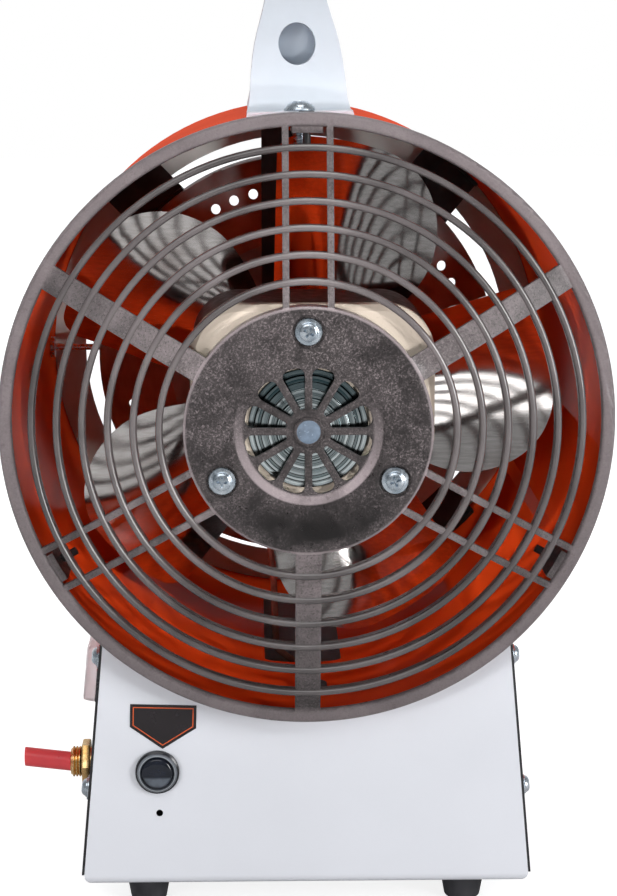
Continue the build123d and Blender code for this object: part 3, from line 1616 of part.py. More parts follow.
with BuildPart() as handle_nuts:
    nut_corner_r = handle_nut_flats / sqrt(3)
    nut_top_z = axis_z + sqrt(tube_bore_r**2 - nut_corner_r**2) - seat
    with BuildSketch(Plane.XY.offset(nut_top_z)):
        with Locations(*[(0, y) for y in handle_bolt_ys]):
            RegularPolygon(handle_nut_flats / 2, 6, major_radius=False)
            Circle(handle_bolt_r + fit, mode=Mode.SUBTRACT)
    extrude(amount=-handle_nut)
leaning(handle_nuts, "handle_nuts")
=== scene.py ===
import json
from math import cos, pi, radians, sin, sqrt

import bmesh
import bpy
from bpy.props import FloatProperty, FloatVectorProperty, PointerProperty
from mathutils import Matrix, Vector


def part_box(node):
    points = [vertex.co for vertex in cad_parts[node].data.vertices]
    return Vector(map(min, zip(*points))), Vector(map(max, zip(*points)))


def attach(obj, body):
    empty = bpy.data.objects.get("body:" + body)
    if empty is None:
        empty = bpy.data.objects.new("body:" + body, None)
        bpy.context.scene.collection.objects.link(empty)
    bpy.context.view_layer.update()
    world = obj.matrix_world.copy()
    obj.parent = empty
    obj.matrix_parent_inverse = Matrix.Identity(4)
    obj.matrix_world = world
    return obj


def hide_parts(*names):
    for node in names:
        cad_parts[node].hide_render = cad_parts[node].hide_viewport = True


bl_info = {
    "name": "Forced air heater",
    "version": (1, 0, 0),
    "blender": (4, 5, 0),
    "location": "3D Viewport > Sidebar > Heater",
    "description": "Dresses the solid model of a portable gas heater for rendering",
    "category": "Object",
}

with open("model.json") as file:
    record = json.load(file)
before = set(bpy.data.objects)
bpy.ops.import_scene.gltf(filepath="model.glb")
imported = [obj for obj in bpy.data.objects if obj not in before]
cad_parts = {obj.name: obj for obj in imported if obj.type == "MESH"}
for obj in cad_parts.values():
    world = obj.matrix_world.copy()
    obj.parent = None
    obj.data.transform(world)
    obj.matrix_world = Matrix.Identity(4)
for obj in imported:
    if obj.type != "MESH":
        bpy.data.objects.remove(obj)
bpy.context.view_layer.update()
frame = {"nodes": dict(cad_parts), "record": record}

# Lengths are in metres, on the solid model's axes. The guard is at the rear, and faces -Y.
REAR = (0, -1, 0)
AXIS_Z = 0.205  # height of the tube's axis

DOME_R = 0.34  # the sphere that the guard's dome is a part of
GUARD_REAR_Y = -0.108
GUARD_INNER_R = 0.115
RING_R = (0.0572, 0.1071)  # the innermost ring and the outermost
RING_COUNT = 6
RING_PROUD = 0.0007  # how far the rings stand behind the bars
BEAD_R = 0.0014  # the round section that covers a ring
BEAD_IN = 0.00115
BEAD_TURNS = [2 * pi * side / 14 for side in range(14)]

LIP_R = (0.1022, 0.1172)  # the rolled lip at the tube's hot end
LIP_IN = 0.0012  # how far the facing lies inside that end
LIP_THICK = 0.0004
CONE_HOLE_ANGLES = (105, 111.7, 118.4, 40, 33.3, 26.6, 195, 201.7, 208.4, 285, 291.7, 298.4)
CONE_HOLE_OUT = 0.0797  # how far the holes lie from the axis
CONE_HOLE_Y = 0.0794
DRILL_R = 0.0022
DRILL_DEPTH = 0.016

MOTOR_SCREW_ANGLES = (90, 210, 330)
MOTOR_SCREW_CIRCLE_R = 0.0383
SHIELD_FRONT_Y = -0.1066  # where the motor's cream end shield meets its body

BASE_REAR_Y = -0.093
BASE_BOTTOM_Z = 0.012
BASE_HALF = 0.0912  # half the width of the base at its bottom
BASE_LEAN = 0.0914  # how much its sides lean inwards for their height
COVER_OUT = 0.0012  # how far the side covers' faces stand out of the base
COVER_SCREW_OUT = COVER_OUT + 0.0008  # on the washer
COVER_SCREW_YS = (-0.08, 0.084)
COVER_SCREW_ZS = (0.0495, 0.105)

PLATE_X = -0.0578
PLATE_Z = 0.0883  # of its upper edge
PLATE_SIDE = 0.0095  # how high the plate is at its sides, and in its middle
PLATE_HEIGHT = 0.0184
PLATE_THICK = 0.0003
LINE_IN = 0.0011  # from the plate's edge to its line
LINE_WIDTH = 0.00042
LINE_THICK = 0.00036

IGNITER_X = -0.0605
IGNITER_Z = 0.0603
PIN_HOLE_X = -0.0598
PIN_HOLE_Z = 0.0428

INLET_Y = -0.033
INLET_THREAD = (-0.0045, 0.00658, 0.0057, 3)  # start, outer and inner radius, turns
HEXAGON_R = 0.00981
HEXAGON_THICK = 0.0036
HEXAGON_IN = 0.0066  # from the stub's end to the middle of the hexagon
HEXAGON_EDGE = 0.0006
PLUG_IN = 0.0001  # how far inside the stub's end the plug's tilt starts

HANDLE_LEAN = radians(-1.1)
HANDLE_BOLT_YS = (-0.072, 0.114)
BOLT_THREAD = (0.003, 0.00262, 11, 0.001)  # outer and inner radius, turns, pitch
BOLT_THREAD_SPAN = (0.0006, 0.0122)  # from the bolt's end
THUMB_REST = (0.0076, 0.0089)  # half the width and height of the hollow's raised floor
THUMB_PLACE = (-0.0026, -0.032, 0.3509)

THREAD_CREST = (0.36, 0.64)  # where a thread's crest starts and ends, as shares of its pitch

# Cross recesses: the length of an arm, half its width, and its depth
MOTOR_SCREW_CROSS = (0.0021, 0.00045, 0.0014)
COVER_SCREW_CROSS = (0.0016, 0.0004, 0.0011)
BOLT_CROSS = (0.0023, 0.0005, 0.0015)

# Ends of shanks: the radius of the flat end, that of the shank, and the chamfer
MOTOR_SCREW_END = (0.0021, 0.00245, 0.0006)
BOLT_END = (0.0022, 0.0026, 0.0004)
BUTTON_END = (0.0064, 0.00652, 0.0001)

# How far edges are rounded
SCREW_EDGE = 0.0003
WASHER_EDGE = 0.00025
HOUSING_EDGE = 0.0006
FOOT_EDGE = 0.0014
PLUG_EDGE = 0.0005
SWITCH_EDGE = 0.0003
HANDLE_EDGE = 0.0018


def mm(*pairs):
    """Pairs of lengths that are given in millimetres."""
    return [(first / 1000, second / 1000) for first, second in pairs]


# Profiles are points of (radius, height) that are spun round the height's axis.
BOSS_HOLLOW = mm((0, -0.45), (3, -0.4), (4.4, -0.2), (5.2, 0.2), (5.2, 2), (0, 2))
BOSS_DISH = mm((0, -0.42), (3, -0.37), (4.4, -0.17), (4.9, -0.03), (4.9, -0.6))
MOTOR_SCREW_HEAD = mm(
    (2.45, -3.2), (5.2, -3.2), (5.4, -3), (5.4, -2.5), (5.1, -2.2), (4.1, -2.1), (3.6, -1.9),
    (3.6, -1), (3.4, -0.5), (3, -0.2), (2.5, 0),
)
COVER_SCREW = mm(
    (0, -7.9), (1.2, -7.9), (1.9, -7), (1.9, 0), (3.8, 0), (4, 0.1), (4, 0.5), (3.6, 0.7),
    (3.4, 1.2), (3, 1.8), (2.4, 2.2), (1.9, 2.4),
)
BOLT_HEAD = mm(
    (3, -3.6), (6.1, -3.6), (6.25, -3.4), (6.2, -3), (5.7, -2), (4.8, -1.1), (3.6, -0.4),
    (2.8, -0.1), (2.6, 0),
)
BEZEL_R = (0.0066, 0.0076)
BEZEL_RIM = mm(
    (7.6, -3), (8.85, -3), (8.95, -2.9), (8.95, -1.7), (8.8, -1.3), (8.2, -0.9), (8, -0.3),
    (7.7, 0), (7.1, 0), (6.9, -0.2), (6.6, -0.9),
)
BUTTON_FACE = mm(
    (6.52, -1.9), (6.4, -1.3), (6.1, -0.8), (5.6, -0.5), (4.5, -0.25), (3, -0.1), (1.5, -0.02),
    (0, 0),
)
PIN_HOLE = mm((0, 0.15), (1.3, 0.15), (1.4, -0.1))
INLET_R = (0.0036, 0.0063)
INLET_NECK = mm((6.3, -4.8), (5.6, -4.8))
INLET_END = mm((5.7, -0.2), (5.4, 0), (3.6, 0))
# radii here are shares of THUMB_REST
THUMB_DOME = ((0, 0.0026), (0.2, 0.0025), (0.4, 0.00215), (0.6, 0.0016), (0.8, 0.0009), (1, 0))

# Bands round an axis: an inner edge and an outer one, each where the band is 0 and where it is 1
DISC_SLOPE = mm((24.6, 25.6), (28.8, 28.2))
DISC_RIM = mm((46.8, 47.4), (48.4, 48.1))
BEZEL_STEP = mm((6.4, 6.7), (8.2, 7.9))
BEZEL_HIGHLIGHT = mm((7.1, 7.2), (7.45, 7.35))
DISC_EDGE = (0.0486, 0.0478)  # an outer edge alone
GUARD_RIM = (0.1135, 0.1165)  # an inner edge alone

SENSOR_WIDTH = 36  # millimetres
LAMP_AIM = (0, 0, 0.2)
AREA_LAMPS = (  # name, place, width and height, setting of its power, whether mirrors show it
    ("Key", (-0.25, -1.45, 1.45), (1.5, 0.9), "key_power", True),
    ("Fill", (1.3, -1.2, 0.5), (0.5, 0.8), "fill_power", True),
    ("Top", (0.1, -0.5, 1.9), (0.5, 0.5), "top_power", True),
    ("Left", (-1.1, -1.5, 0.2), (0.8, 0.8), "left_power", False),
)
INSIDE_SPOTS = (  # name, place, height at which it aims, share of the power
    ("Inside right", (0.95, -1.2, 0.4), 0.219, 1.0),
    ("Inside left", (-0.95, -1.2, 0.35), 0.219, 1.0),
    ("Inside top", (0.05, -1.2, 0.85), 0.219, 0.6),
    ("Inside low", (0.25, -1.3, 0.08), 0.236, 0.8),
)
SPOT_AIM_Y = -0.1
SPOT_BLEND = 0.2
SPOT_SOFTNESS = 0.06
ROOM_TINT = (0.97, 0.985, 1.0, 1)
ROOM_SPAN = (-0.35, 0.75)  # between which directions along Y the room goes from dim to bright
MIRROR_SPAN = (0.1, 0.9)  # the same in mirrors
MIRROR_LIGHT = (0.26, 0.6)
WHITE = (1, 1, 1, 1)
FLOOR_HALF = 6
FLOOR_GREY = (0.5, 0.5, 0.5, 1)
FLOOR_GLOW = 0.8
FLOOR_SPAN = (-0.1, 0.5)  # where along Y the floor starts to glow in mirrors, and glows in full


# ---- Settings ----


def colour(name, description, *rgb):
    """A colour setting, given as the 0 to 255 values that a screen shows."""
    linear = [
        value / 255 / 12.92 if value <= 10 else ((value / 255 + 0.055) / 1.055) ** 2.4
        for value in rgb
    ]
    return FloatVectorProperty(
        name=name, description=description, subtype="COLOR", size=3, min=0, max=1, default=linear
    )


def number(name, description, default, **limits):
    """A setting that is a bare number."""
    return FloatProperty(name=name, description=description, default=default, **limits)


def distance(name, description, default, least=0.0):
    """A setting that is a length in metres."""
    return number(name, description, default, min=least, unit="LENGTH")


def turn_by(name, description, degrees):
    """A setting that is an angle."""
    return number(name, description, radians(degrees), subtype="ANGLE")


def power(name, description, watts):
    """A setting that is a lamp's power."""
    return number(name, description, watts, min=0, unit="POWER")


class HeaterColours(bpy.types.PropertyGroup):
    """The colours of the heater's finishes"""

    enamel: colour("Tube enamel", "Orange enamel of the tube", 238, 76, 26)
    panel: colour("Base enamel", "Light enamel of the base", 224, 226, 233)
    guard: colour("Guard", "Plastic of the guard", 70, 65, 65)
    # the guard's pale fibres, and also the colour of the painted highlights on its slope and rims
    guard_fleck_and_highlight: colour("Guard flecks and highlights", "Pale fibres in the guard's plastic", 128, 118, 120)
    housing: colour("Motor housing", "Cream moulding of the motor", 160, 149, 137)
    handle: colour("Handle", "Plastic of the carrying handle", 200, 207, 216)
    plug: colour("Inlet plug", "Plastic of the gas inlet's plug", 253, 84, 91)
    boss: colour("Guard boss", "Dish in the middle of the guard", 70, 80, 92)
    plate: colour("Plate", "Face of the bare plate on the base", 36, 30, 33)
    plate_line: colour("Plate line", "Thin line round the bare plate", 214, 92, 44)


class HeaterSizes(bpy.types.PropertyGroup):
    """The sizes of what is added to the solid model"""

    edge: distance("Moulded edge", "Rounding of the guard's edges", 0.0005)
    sheet_edge: distance("Sheet edge", "Rounding of the edges of enamelled sheet", 0.0003)
    plate_width: distance("Plate width", "Width of the bare plate on the base", 0.0267, 0.01)
    plate_turn: turn_by("Plate turn", "How far the bare plate is turned", -1.6)
    thread_pitch: distance("Inlet thread", "Pitch of the gas inlet's thread", 0.00134, 0.0005)
    plug_tilt: number("Plug tilt", "How much the end of the plug rises for its length", 0.12)


class HeaterStage(bpy.types.PropertyGroup):
    """The camera, the room and the lamps"""

    camera_place: FloatVectorProperty(
        name="Camera", description="Where the camera stands", unit="LENGTH",
        subtype="TRANSLATION", default=(-0.02154, -1.0062, 0.3531),
    )
    camera_pitch: turn_by("Pitch", "How far the camera looks down", 9.935)
    camera_yaw: turn_by("Yaw", "How far the camera looks to the right", 1.396)
    lens: number("Lens", "Focal length on a 36 mm sensor, in millimetres", 94.1, min=10)
    room_behind: number("Room behind", "Light of the room behind the camera", 0.14, min=0)
    room_ahead: number("Room ahead", "Light of the room beyond the heater", 1.3, min=0)
    key_power: power("Key lamp", "Power of the large lamp above the camera", 8)
    fill_power: power("Fill lamp", "Power of the lamp on the right", 17)
    top_power: power("Top lamp", "Power of the lamp above the guard", 5)
    left_power: power("Left lamp", "Power of the low lamp on the left", 13)
    inside_power: power("Inside lamps", "Power of a spot that lights the tube's inside", 76)
    inside_cone: turn_by("Inside cone", "Angle of the spots that light the tube's inside", 7.4)


# ---- Finishes ----

MIX_LOW, MIX_HIGH, MIX_RESULT = 6, 7, 2  # the Mix node's sockets for colours


class Tree:
    """A tree of shader nodes."""

    def __init__(self, tree):
        self.tree = tree

    def node(self, kind, **values):
        """A new node with some of its properties set."""
        made = self.tree.nodes.new(kind)
        for key, value in values.items():
            setattr(made, key, value)
        return made

    def fill(self, node, **sockets):
        """Sets some of a node's inputs, whose names have _ for a space here."""
        for socket, value in sockets.items():
            node.inputs[socket.replace("_", " ")].default_value = value

    def link(self, out, into):
        self.tree.links.new(out, into)

    def reckon(self, operation, one, other):
        """What an operation makes of a value and another value or a constant."""
        made = self.node("ShaderNodeMath", operation=operation)
        self.link(one, made.inputs[0])
        if isinstance(other, float):
            made.inputs[1].default_value = other
        else:
            self.link(other, made.inputs[1])
        return made.outputs["Value"]

    def times(self, one, other):
        return self.reckon("MULTIPLY", one, other)

    def split(self, vector):
        """The X, Y and Z of a vector."""
        made = self.node("ShaderNodeSeparateXYZ")
        self.link(vector, made.inputs["Vector"])
        return made.outputs

    def stretch(self, value, low, high, to_low=0.0, to_high=1.0, smooth=False):
        """Maps low to high onto to_low to to_high, and holds the ends."""
        kind = "SMOOTHSTEP" if smooth else "LINEAR"
        made = self.node("ShaderNodeMapRange", interpolation_type=kind)
        self.fill(made, From_Min=low, From_Max=high, To_Min=to_low, To_Max=to_high)
        self.link(value, made.inputs["Value"])
        return made.outputs["Result"]


class Finish(Tree):
    """A material that is being put together from nodes, on the piece's own coordinates."""

    def __init__(self, name, **sockets):
        self.material = bpy.data.materials.new(name)
        self.material.use_nodes = True
        super().__init__(self.material.node_tree)
        self.shader = self.tree.nodes["Principled BSDF"]
        self.fill(self.shader, **sockets)
        self.colour = None  # what the next tint lies over
        self.normal = None  # what the next relief lies over

    def place(self, scale=(1, 1, 1), move=(0, 0, 0)):
        """Object coordinates, moved and then scaled."""
        source = self.node("ShaderNodeTexCoord")
        shift = self.node("ShaderNodeMapping")
        self.fill(shift, Location=[m * s for m, s in zip(move, scale)], Scale=scale)
        self.link(source.outputs["Object"], shift.inputs["Vector"])
        return shift.outputs["Vector"]

    def noise(self, scale, detail=2.0, roughness=0.5, vector=None, distortion=0.0):
        """Noise whose features are about one over scale metres across."""
        made = self.node("ShaderNodeTexNoise")
        self.fill(made, Scale=scale, Detail=detail, Roughness=roughness, Distortion=distortion)
        self.link(vector or self.place(), made.inputs["Vector"])
        return made.outputs["Fac"]

    def about_axis(self, x=0, z=AXIS_Z):
        """The distance from an axis along Y, the tube's if not told, and the height over it."""
        beside = self.place(scale=(1, 0, 1), move=(-x, 0, -z))
        radius = self.node("ShaderNodeVectorMath", operation="LENGTH")
        self.link(beside, radius.inputs[0])
        return radius.outputs["Value"], self.split(beside)["Z"]

    def band(self, radius, inner, outer):
        """1 between two edges and 0 beyond them."""
        return self.times(self.stretch(radius, *inner), self.stretch(radius, *outer))

    def tint(self, factor, low, high):
        """Colours the surface from low to high as the factor goes from 0 to 1."""
        mix = self.node("ShaderNodeMix", data_type="RGBA")
        self.link(factor, mix.inputs["Factor"])
        if low is None:
            self.link(self.colour, mix.inputs[MIX_LOW])
        else:
            mix.inputs[MIX_LOW].default_value = (*low, 1)
        mix.inputs[MIX_HIGH].default_value = (*high, 1)
        self.colour = mix.outputs[MIX_RESULT]
        self.link(self.colour, self.shader.inputs["Base Color"])

    def tint_more(self, factor, high):
        """Lays another colour over the last one."""
        self.tint(factor, None, high)

    def gloss(self, factor, low, high):
        """Lets the roughness run from low to high."""
        self.link(self.stretch(factor, 0.3, 0.7, low, high), self.shader.inputs["Roughness"])

    def relief(self, height, depth, strength=1.0):
        """Adds a relief of a depth in metres over what is there already."""
        made = self.node("ShaderNodeBump")
        self.fill(made, Strength=strength, Distance=depth)
        self.link(height, made.inputs["Height"])
        if self.normal:
            self.link(self.normal, made.inputs["Normal"])
        self.normal = made.outputs["Normal"]
        self.link(self.normal, self.shader.inputs["Normal"])

    def worn(self, gloss, relief):
        """Adds gloss and relief from noise, each its scale, detail and two more values."""
        self.gloss(self.noise(*gloss[:2]), *gloss[2:])
        self.relief(self.noise(*relief[:2]), *relief[2:])
        return self


def mixed(low, high, share):
    """A colour between two others."""
    return tuple(a + (b - a) * share for a, b in zip(low, high))


def dark(rgb, share):
    """The same colour, darker."""
    return tuple(value * share for value in rgb)


def make_plain(name, low, high, cloud, gloss, relief, **sockets):
    """Clouds between two colours, an uneven gloss and a fine relief.

    Each starts with a noise's scale and detail. Then come the clouds' roughness and the noise
    at low and high, the gloss's ends, and the relief's depth and strength.
    """
    made = Finish(name, **sockets)
    *grain, start, end = cloud
    made.tint(made.stretch(made.noise(*grain), start, end), low, high)
    return made.worn(gloss, relief)


def make_guard_plastic(colours):
    """Grey-brown nylon: cloudy from its flow in the mould, with glass fibres at its skin, painted
    shade low on its disc and painted highlights on its slope and rims.
    """
    made = Finish("guard_plastic", Specular_IOR_Level=0.3)
    rounded = made.node("ShaderNodeBevel", samples=6)
    made.fill(rounded, Radius=0.0006)
    made.normal = rounded.outputs["Normal"]
    radius, height = made.about_axis()
    cloud = made.noise(34, 5, 0.62, distortion=0.8)

    # what the whole guard has: flow, grain and pits, with a darker disc
    made.tint(
        made.stretch(made.noise(24, 6, 0.68, distortion=1.1), 0.38, 0.62),
        dark(colours.guard, 0.55), mixed(colours.guard, colours.guard_fleck_and_highlight, 0.25),
    )
    made.tint_more(made.stretch(radius, *DISC_EDGE, 0, 0.85), dark(colours.guard, 0.2))
    made.tint_more(
        made.stretch(made.noise(1300, 3, 0.8), 0.5, 0.64, 0, 0.6),
        mixed(colours.guard, colours.guard_fleck_and_highlight, 0.4),
    )
    made.tint_more(
        made.stretch(made.noise(1200, 3, 0.8), 0.52, 0.64, 0, 0.7), dark(colours.guard, 0.14)
    )

    # painted shade low on the disc, broken up by cloud, and dark patches all over it
    low = made.times(made.stretch(height, -0.024, -0.036), made.stretch(radius, 0.046, 0.042))
    made.tint_more(made.times(low, made.stretch(cloud, 0.3, 0.5)), dark(colours.guard, 0.07))
    patches = made.stretch(made.noise(46, 6, 0.7, distortion=1.2), 0.44, 0.62, 0, 0.75)
    made.tint_more(
        made.times(patches, made.stretch(radius, *DISC_EDGE)), dark(colours.guard, 0.1)
    )

    # painted highlights: the lower half of the slope to the slots, the disc's rim and the guard's
    # outer rim
    slope_highlight = made.times(made.band(radius, *DISC_SLOPE), made.stretch(height, 0.012, -0.02))
    made.tint_more(
        made.times(slope_highlight, made.stretch(cloud, 0.3, 0.6, 0.15, 0.55)), colours.guard_fleck_and_highlight
    )
    # painted highlight along the disc's rim
    rim = made.band(radius, *DISC_RIM)
    made.tint_more(made.stretch(rim, 0, 1, 0, 0.5), colours.guard_fleck_and_highlight)
    # painted highlight on the guard's outer rim
    made.tint_more(made.stretch(radius, *GUARD_RIM, 0, 0.45), colours.guard_fleck_and_highlight)

    made.gloss(made.noise(300, 4, 0.6), 0.24, 0.46)
    made.relief(made.noise(1000, 4, 0.65), 0.0001, 0.8)
    made.relief(made.noise(90, 3), 0.0002, 0.3)
    return made


def make_guard_ring(colours):
    """The same nylon where it is smoother, on the round rings."""
    made = Finish("guard_ring", Specular_IOR_Level=1.0)
    made.tint(
        made.stretch(made.noise(30, 3), 0.36, 0.64), dark(colours.guard, 0.6),
        mixed(colours.guard, colours.guard_fleck_and_highlight, 0.1),
    )
    made.tint_more(
        made.stretch(made.noise(2600, 2, 0.7), 0.5, 0.7, 0, 0.25), dark(colours.guard, 0.5)
    )
    return made.worn((300, 3, 0.16, 0.26), (2600, 2, 0.00001, 0.2))


def make_turned_zinc():
    """Bluish zinc with marks of turning and painted reflections: bands round the axis from near
    black to near white, and a painted dark reflection at its upper edge.
    """
    made = Finish("turned_zinc", Metallic=1.0)
    radius, height = made.about_axis()
    # turning marks, whose contrast from near black to near white is painted reflection
    bands = made.noise(290, 3, 0.7, vector=radius)
    made.tint(made.stretch(bands, 0.44, 0.58), (0.02, 0.045, 0.05), (0.8, 0.87, 0.88))
    # painted dark reflection over the upper part of the cap
    upper = made.times(made.stretch(height, -0.004, 0.014), made.stretch(radius, 0.011, 0.018))
    made.tint_more(made.stretch(upper, 0, 1, 0, 0.8), (0.015, 0.05, 0.06))
    made.tint_more(made.stretch(made.noise(90, 4), 0.56, 0.75, 0, 0.4), (0.25, 0.34, 0.36))
    made.gloss(made.noise(300, 3), 0.1, 0.22)
    made.relief(made.noise(2600, 2, vector=radius), 0.00003, 0.6)
    return made


def make_galvanised():
    made = Finish("galvanised_sheet", Metallic=1.0)
    spangle = made.node("ShaderNodeTexVoronoi", feature="F1")
    made.fill(spangle, Scale=210)
    made.link(made.place(), spangle.inputs["Vector"])
    made.tint(
        made.stretch(spangle.outputs["Distance"], 0.1, 0.8), (0.42, 0.41, 0.4), (0.62, 0.61, 0.6)
    )
    return made.worn((180, 3, 0.28, 0.5), (900, 2, 0.00003, 0.5))


def make_tinted_steel():
    """Scaled grey steel, as heat leaves it."""
    made = Finish("tinted_steel", Metallic=0.2)
    made.tint(
        made.stretch(made.noise(26, 4, 0.6), 0.35, 0.66), (0.3, 0.3, 0.3), (0.52, 0.51, 0.5)
    )
    made.tint_more(made.stretch(made.noise(75, 4), 0.55, 0.75, 0, 0.6), (0.22, 0.23, 0.26))
    return made.worn((160, 4, 0.34, 0.55), (1000, 3, 0.00004, 0.6))


def make_housing(colours):
    """Cream end shield on a body of black lacquered steel."""
    made = Finish("cream_housing")
    made.tint(
        made.stretch(made.noise(30, 4), 0.35, 0.68), dark(colours.housing, 0.86), colours.housing
    )
    made.tint_more(
        made.stretch(made.noise(600, 3, 0.7), 0.6, 0.75, 0, 0.4), dark(colours.housing, 0.6)
    )
    along = made.split(made.place())["Y"]
    body = made.stretch(along, SHIELD_FRONT_Y, SHIELD_FRONT_Y + 0.0002)
    made.tint_more(body, (0.02, 0.018, 0.017))
    return made.worn((300, 3, 0.4, 0.6), (1300, 3, 0.00008, 0.6))


def make_fan_sheet():
    """Bright rolled aluminium sheet, nearly a mirror."""
    made = Finish("fan_aluminium", Metallic=1.0)
    grain = made.noise(60, 5, 0.6, vector=made.place(scale=(1, 14, 14)))
    made.tint(made.stretch(grain, 0.3, 0.7), (0.64, 0.6, 0.58), (0.84, 0.8, 0.78))
    made.tint_more(made.stretch(made.noise(24, 5, 0.6), 0.56, 0.74, 0, 0.6), (0.3, 0.22, 0.2))
    made.gloss(made.noise(35, 4), 0.05, 0.12)
    made.relief(grain, 0.00001, 0.3)
    made.relief(made.noise(13, 2), 0.0012, 0.2)
    return made


def make_core_steel():
    made = Finish("core_steel", Metallic=1.0)
    sheets = made.node("ShaderNodeTexWave", wave_type="BANDS", bands_direction="Y")
    made.fill(sheets, Scale=600)
    made.link(made.place(), sheets.inputs["Vector"])
    made.tint(sheets.outputs["Fac"], (0.2, 0.2, 0.21), (0.4, 0.4, 0.41))
    made.gloss(made.noise(200, 3), 0.3, 0.5)
    made.relief(sheets.outputs["Fac"], 0.00005, 0.6)
    return made


def make_bezel():
    """Black plastic with a painted sheen on its inner step, brighter towards the top, and a painted
    highlight line.
    """
    made = Finish("bezel")
    radius, height = made.about_axis(IGNITER_X, IGNITER_Z)
    made.tint(
        made.stretch(made.noise(150, 4), 0.35, 0.68), (0.006, 0.007, 0.01), (0.016, 0.018, 0.024)
    )
    # painted sheen on the inner step, brighter towards the top
    step = made.band(radius, *BEZEL_STEP)
    above = made.stretch(height, -0.006, 0.006, 0.35, 0.9)
    made.tint_more(made.times(step, above), (0.2, 0.22, 0.25))
    # painted highlight line on the step
    line = made.band(radius, *BEZEL_HIGHLIGHT)
    made.tint_more(made.stretch(line, 0, 1, 0, 0.5), (0.5, 0.53, 0.56))
    return made.worn((300, 3, 0.14, 0.26), (1200, 2, 0.00003, 0.5))


def make_button():
    """Polished blue-black plastic with a painted reflection: a paler cloud low on its face."""
    made = Finish("button")
    radius, height = made.about_axis(IGNITER_X, IGNITER_Z)
    made.tint(
        made.stretch(made.noise(200, 3), 0.35, 0.68), (0.005, 0.007, 0.013), (0.012, 0.015, 0.026)
    )
    # painted reflection: paler low on the face, broken up by cloud
    low = made.times(made.stretch(height, -0.0012, -0.0022), made.stretch(radius, 0.006, 0.0052))
    cloud = made.stretch(made.noise(260, 4), 0.3, 0.6, 0.35, 0.8)
    made.tint_more(made.times(low, cloud), (0.13, 0.15, 0.18))
    return made.worn((300, 3, 0.08, 0.16), (900, 2, 0.00003, 0.5))


def make_clear_hood():
    made = Finish(
        "clear_hood", Base_Color=(1, 0.94, 0.955, 1), Transmission_Weight=0.72, IOR=1.06
    )
    return made.worn((80, 3, 0.28, 0.4), (60, 3, 0.0002, 0.3))


finishes = {}


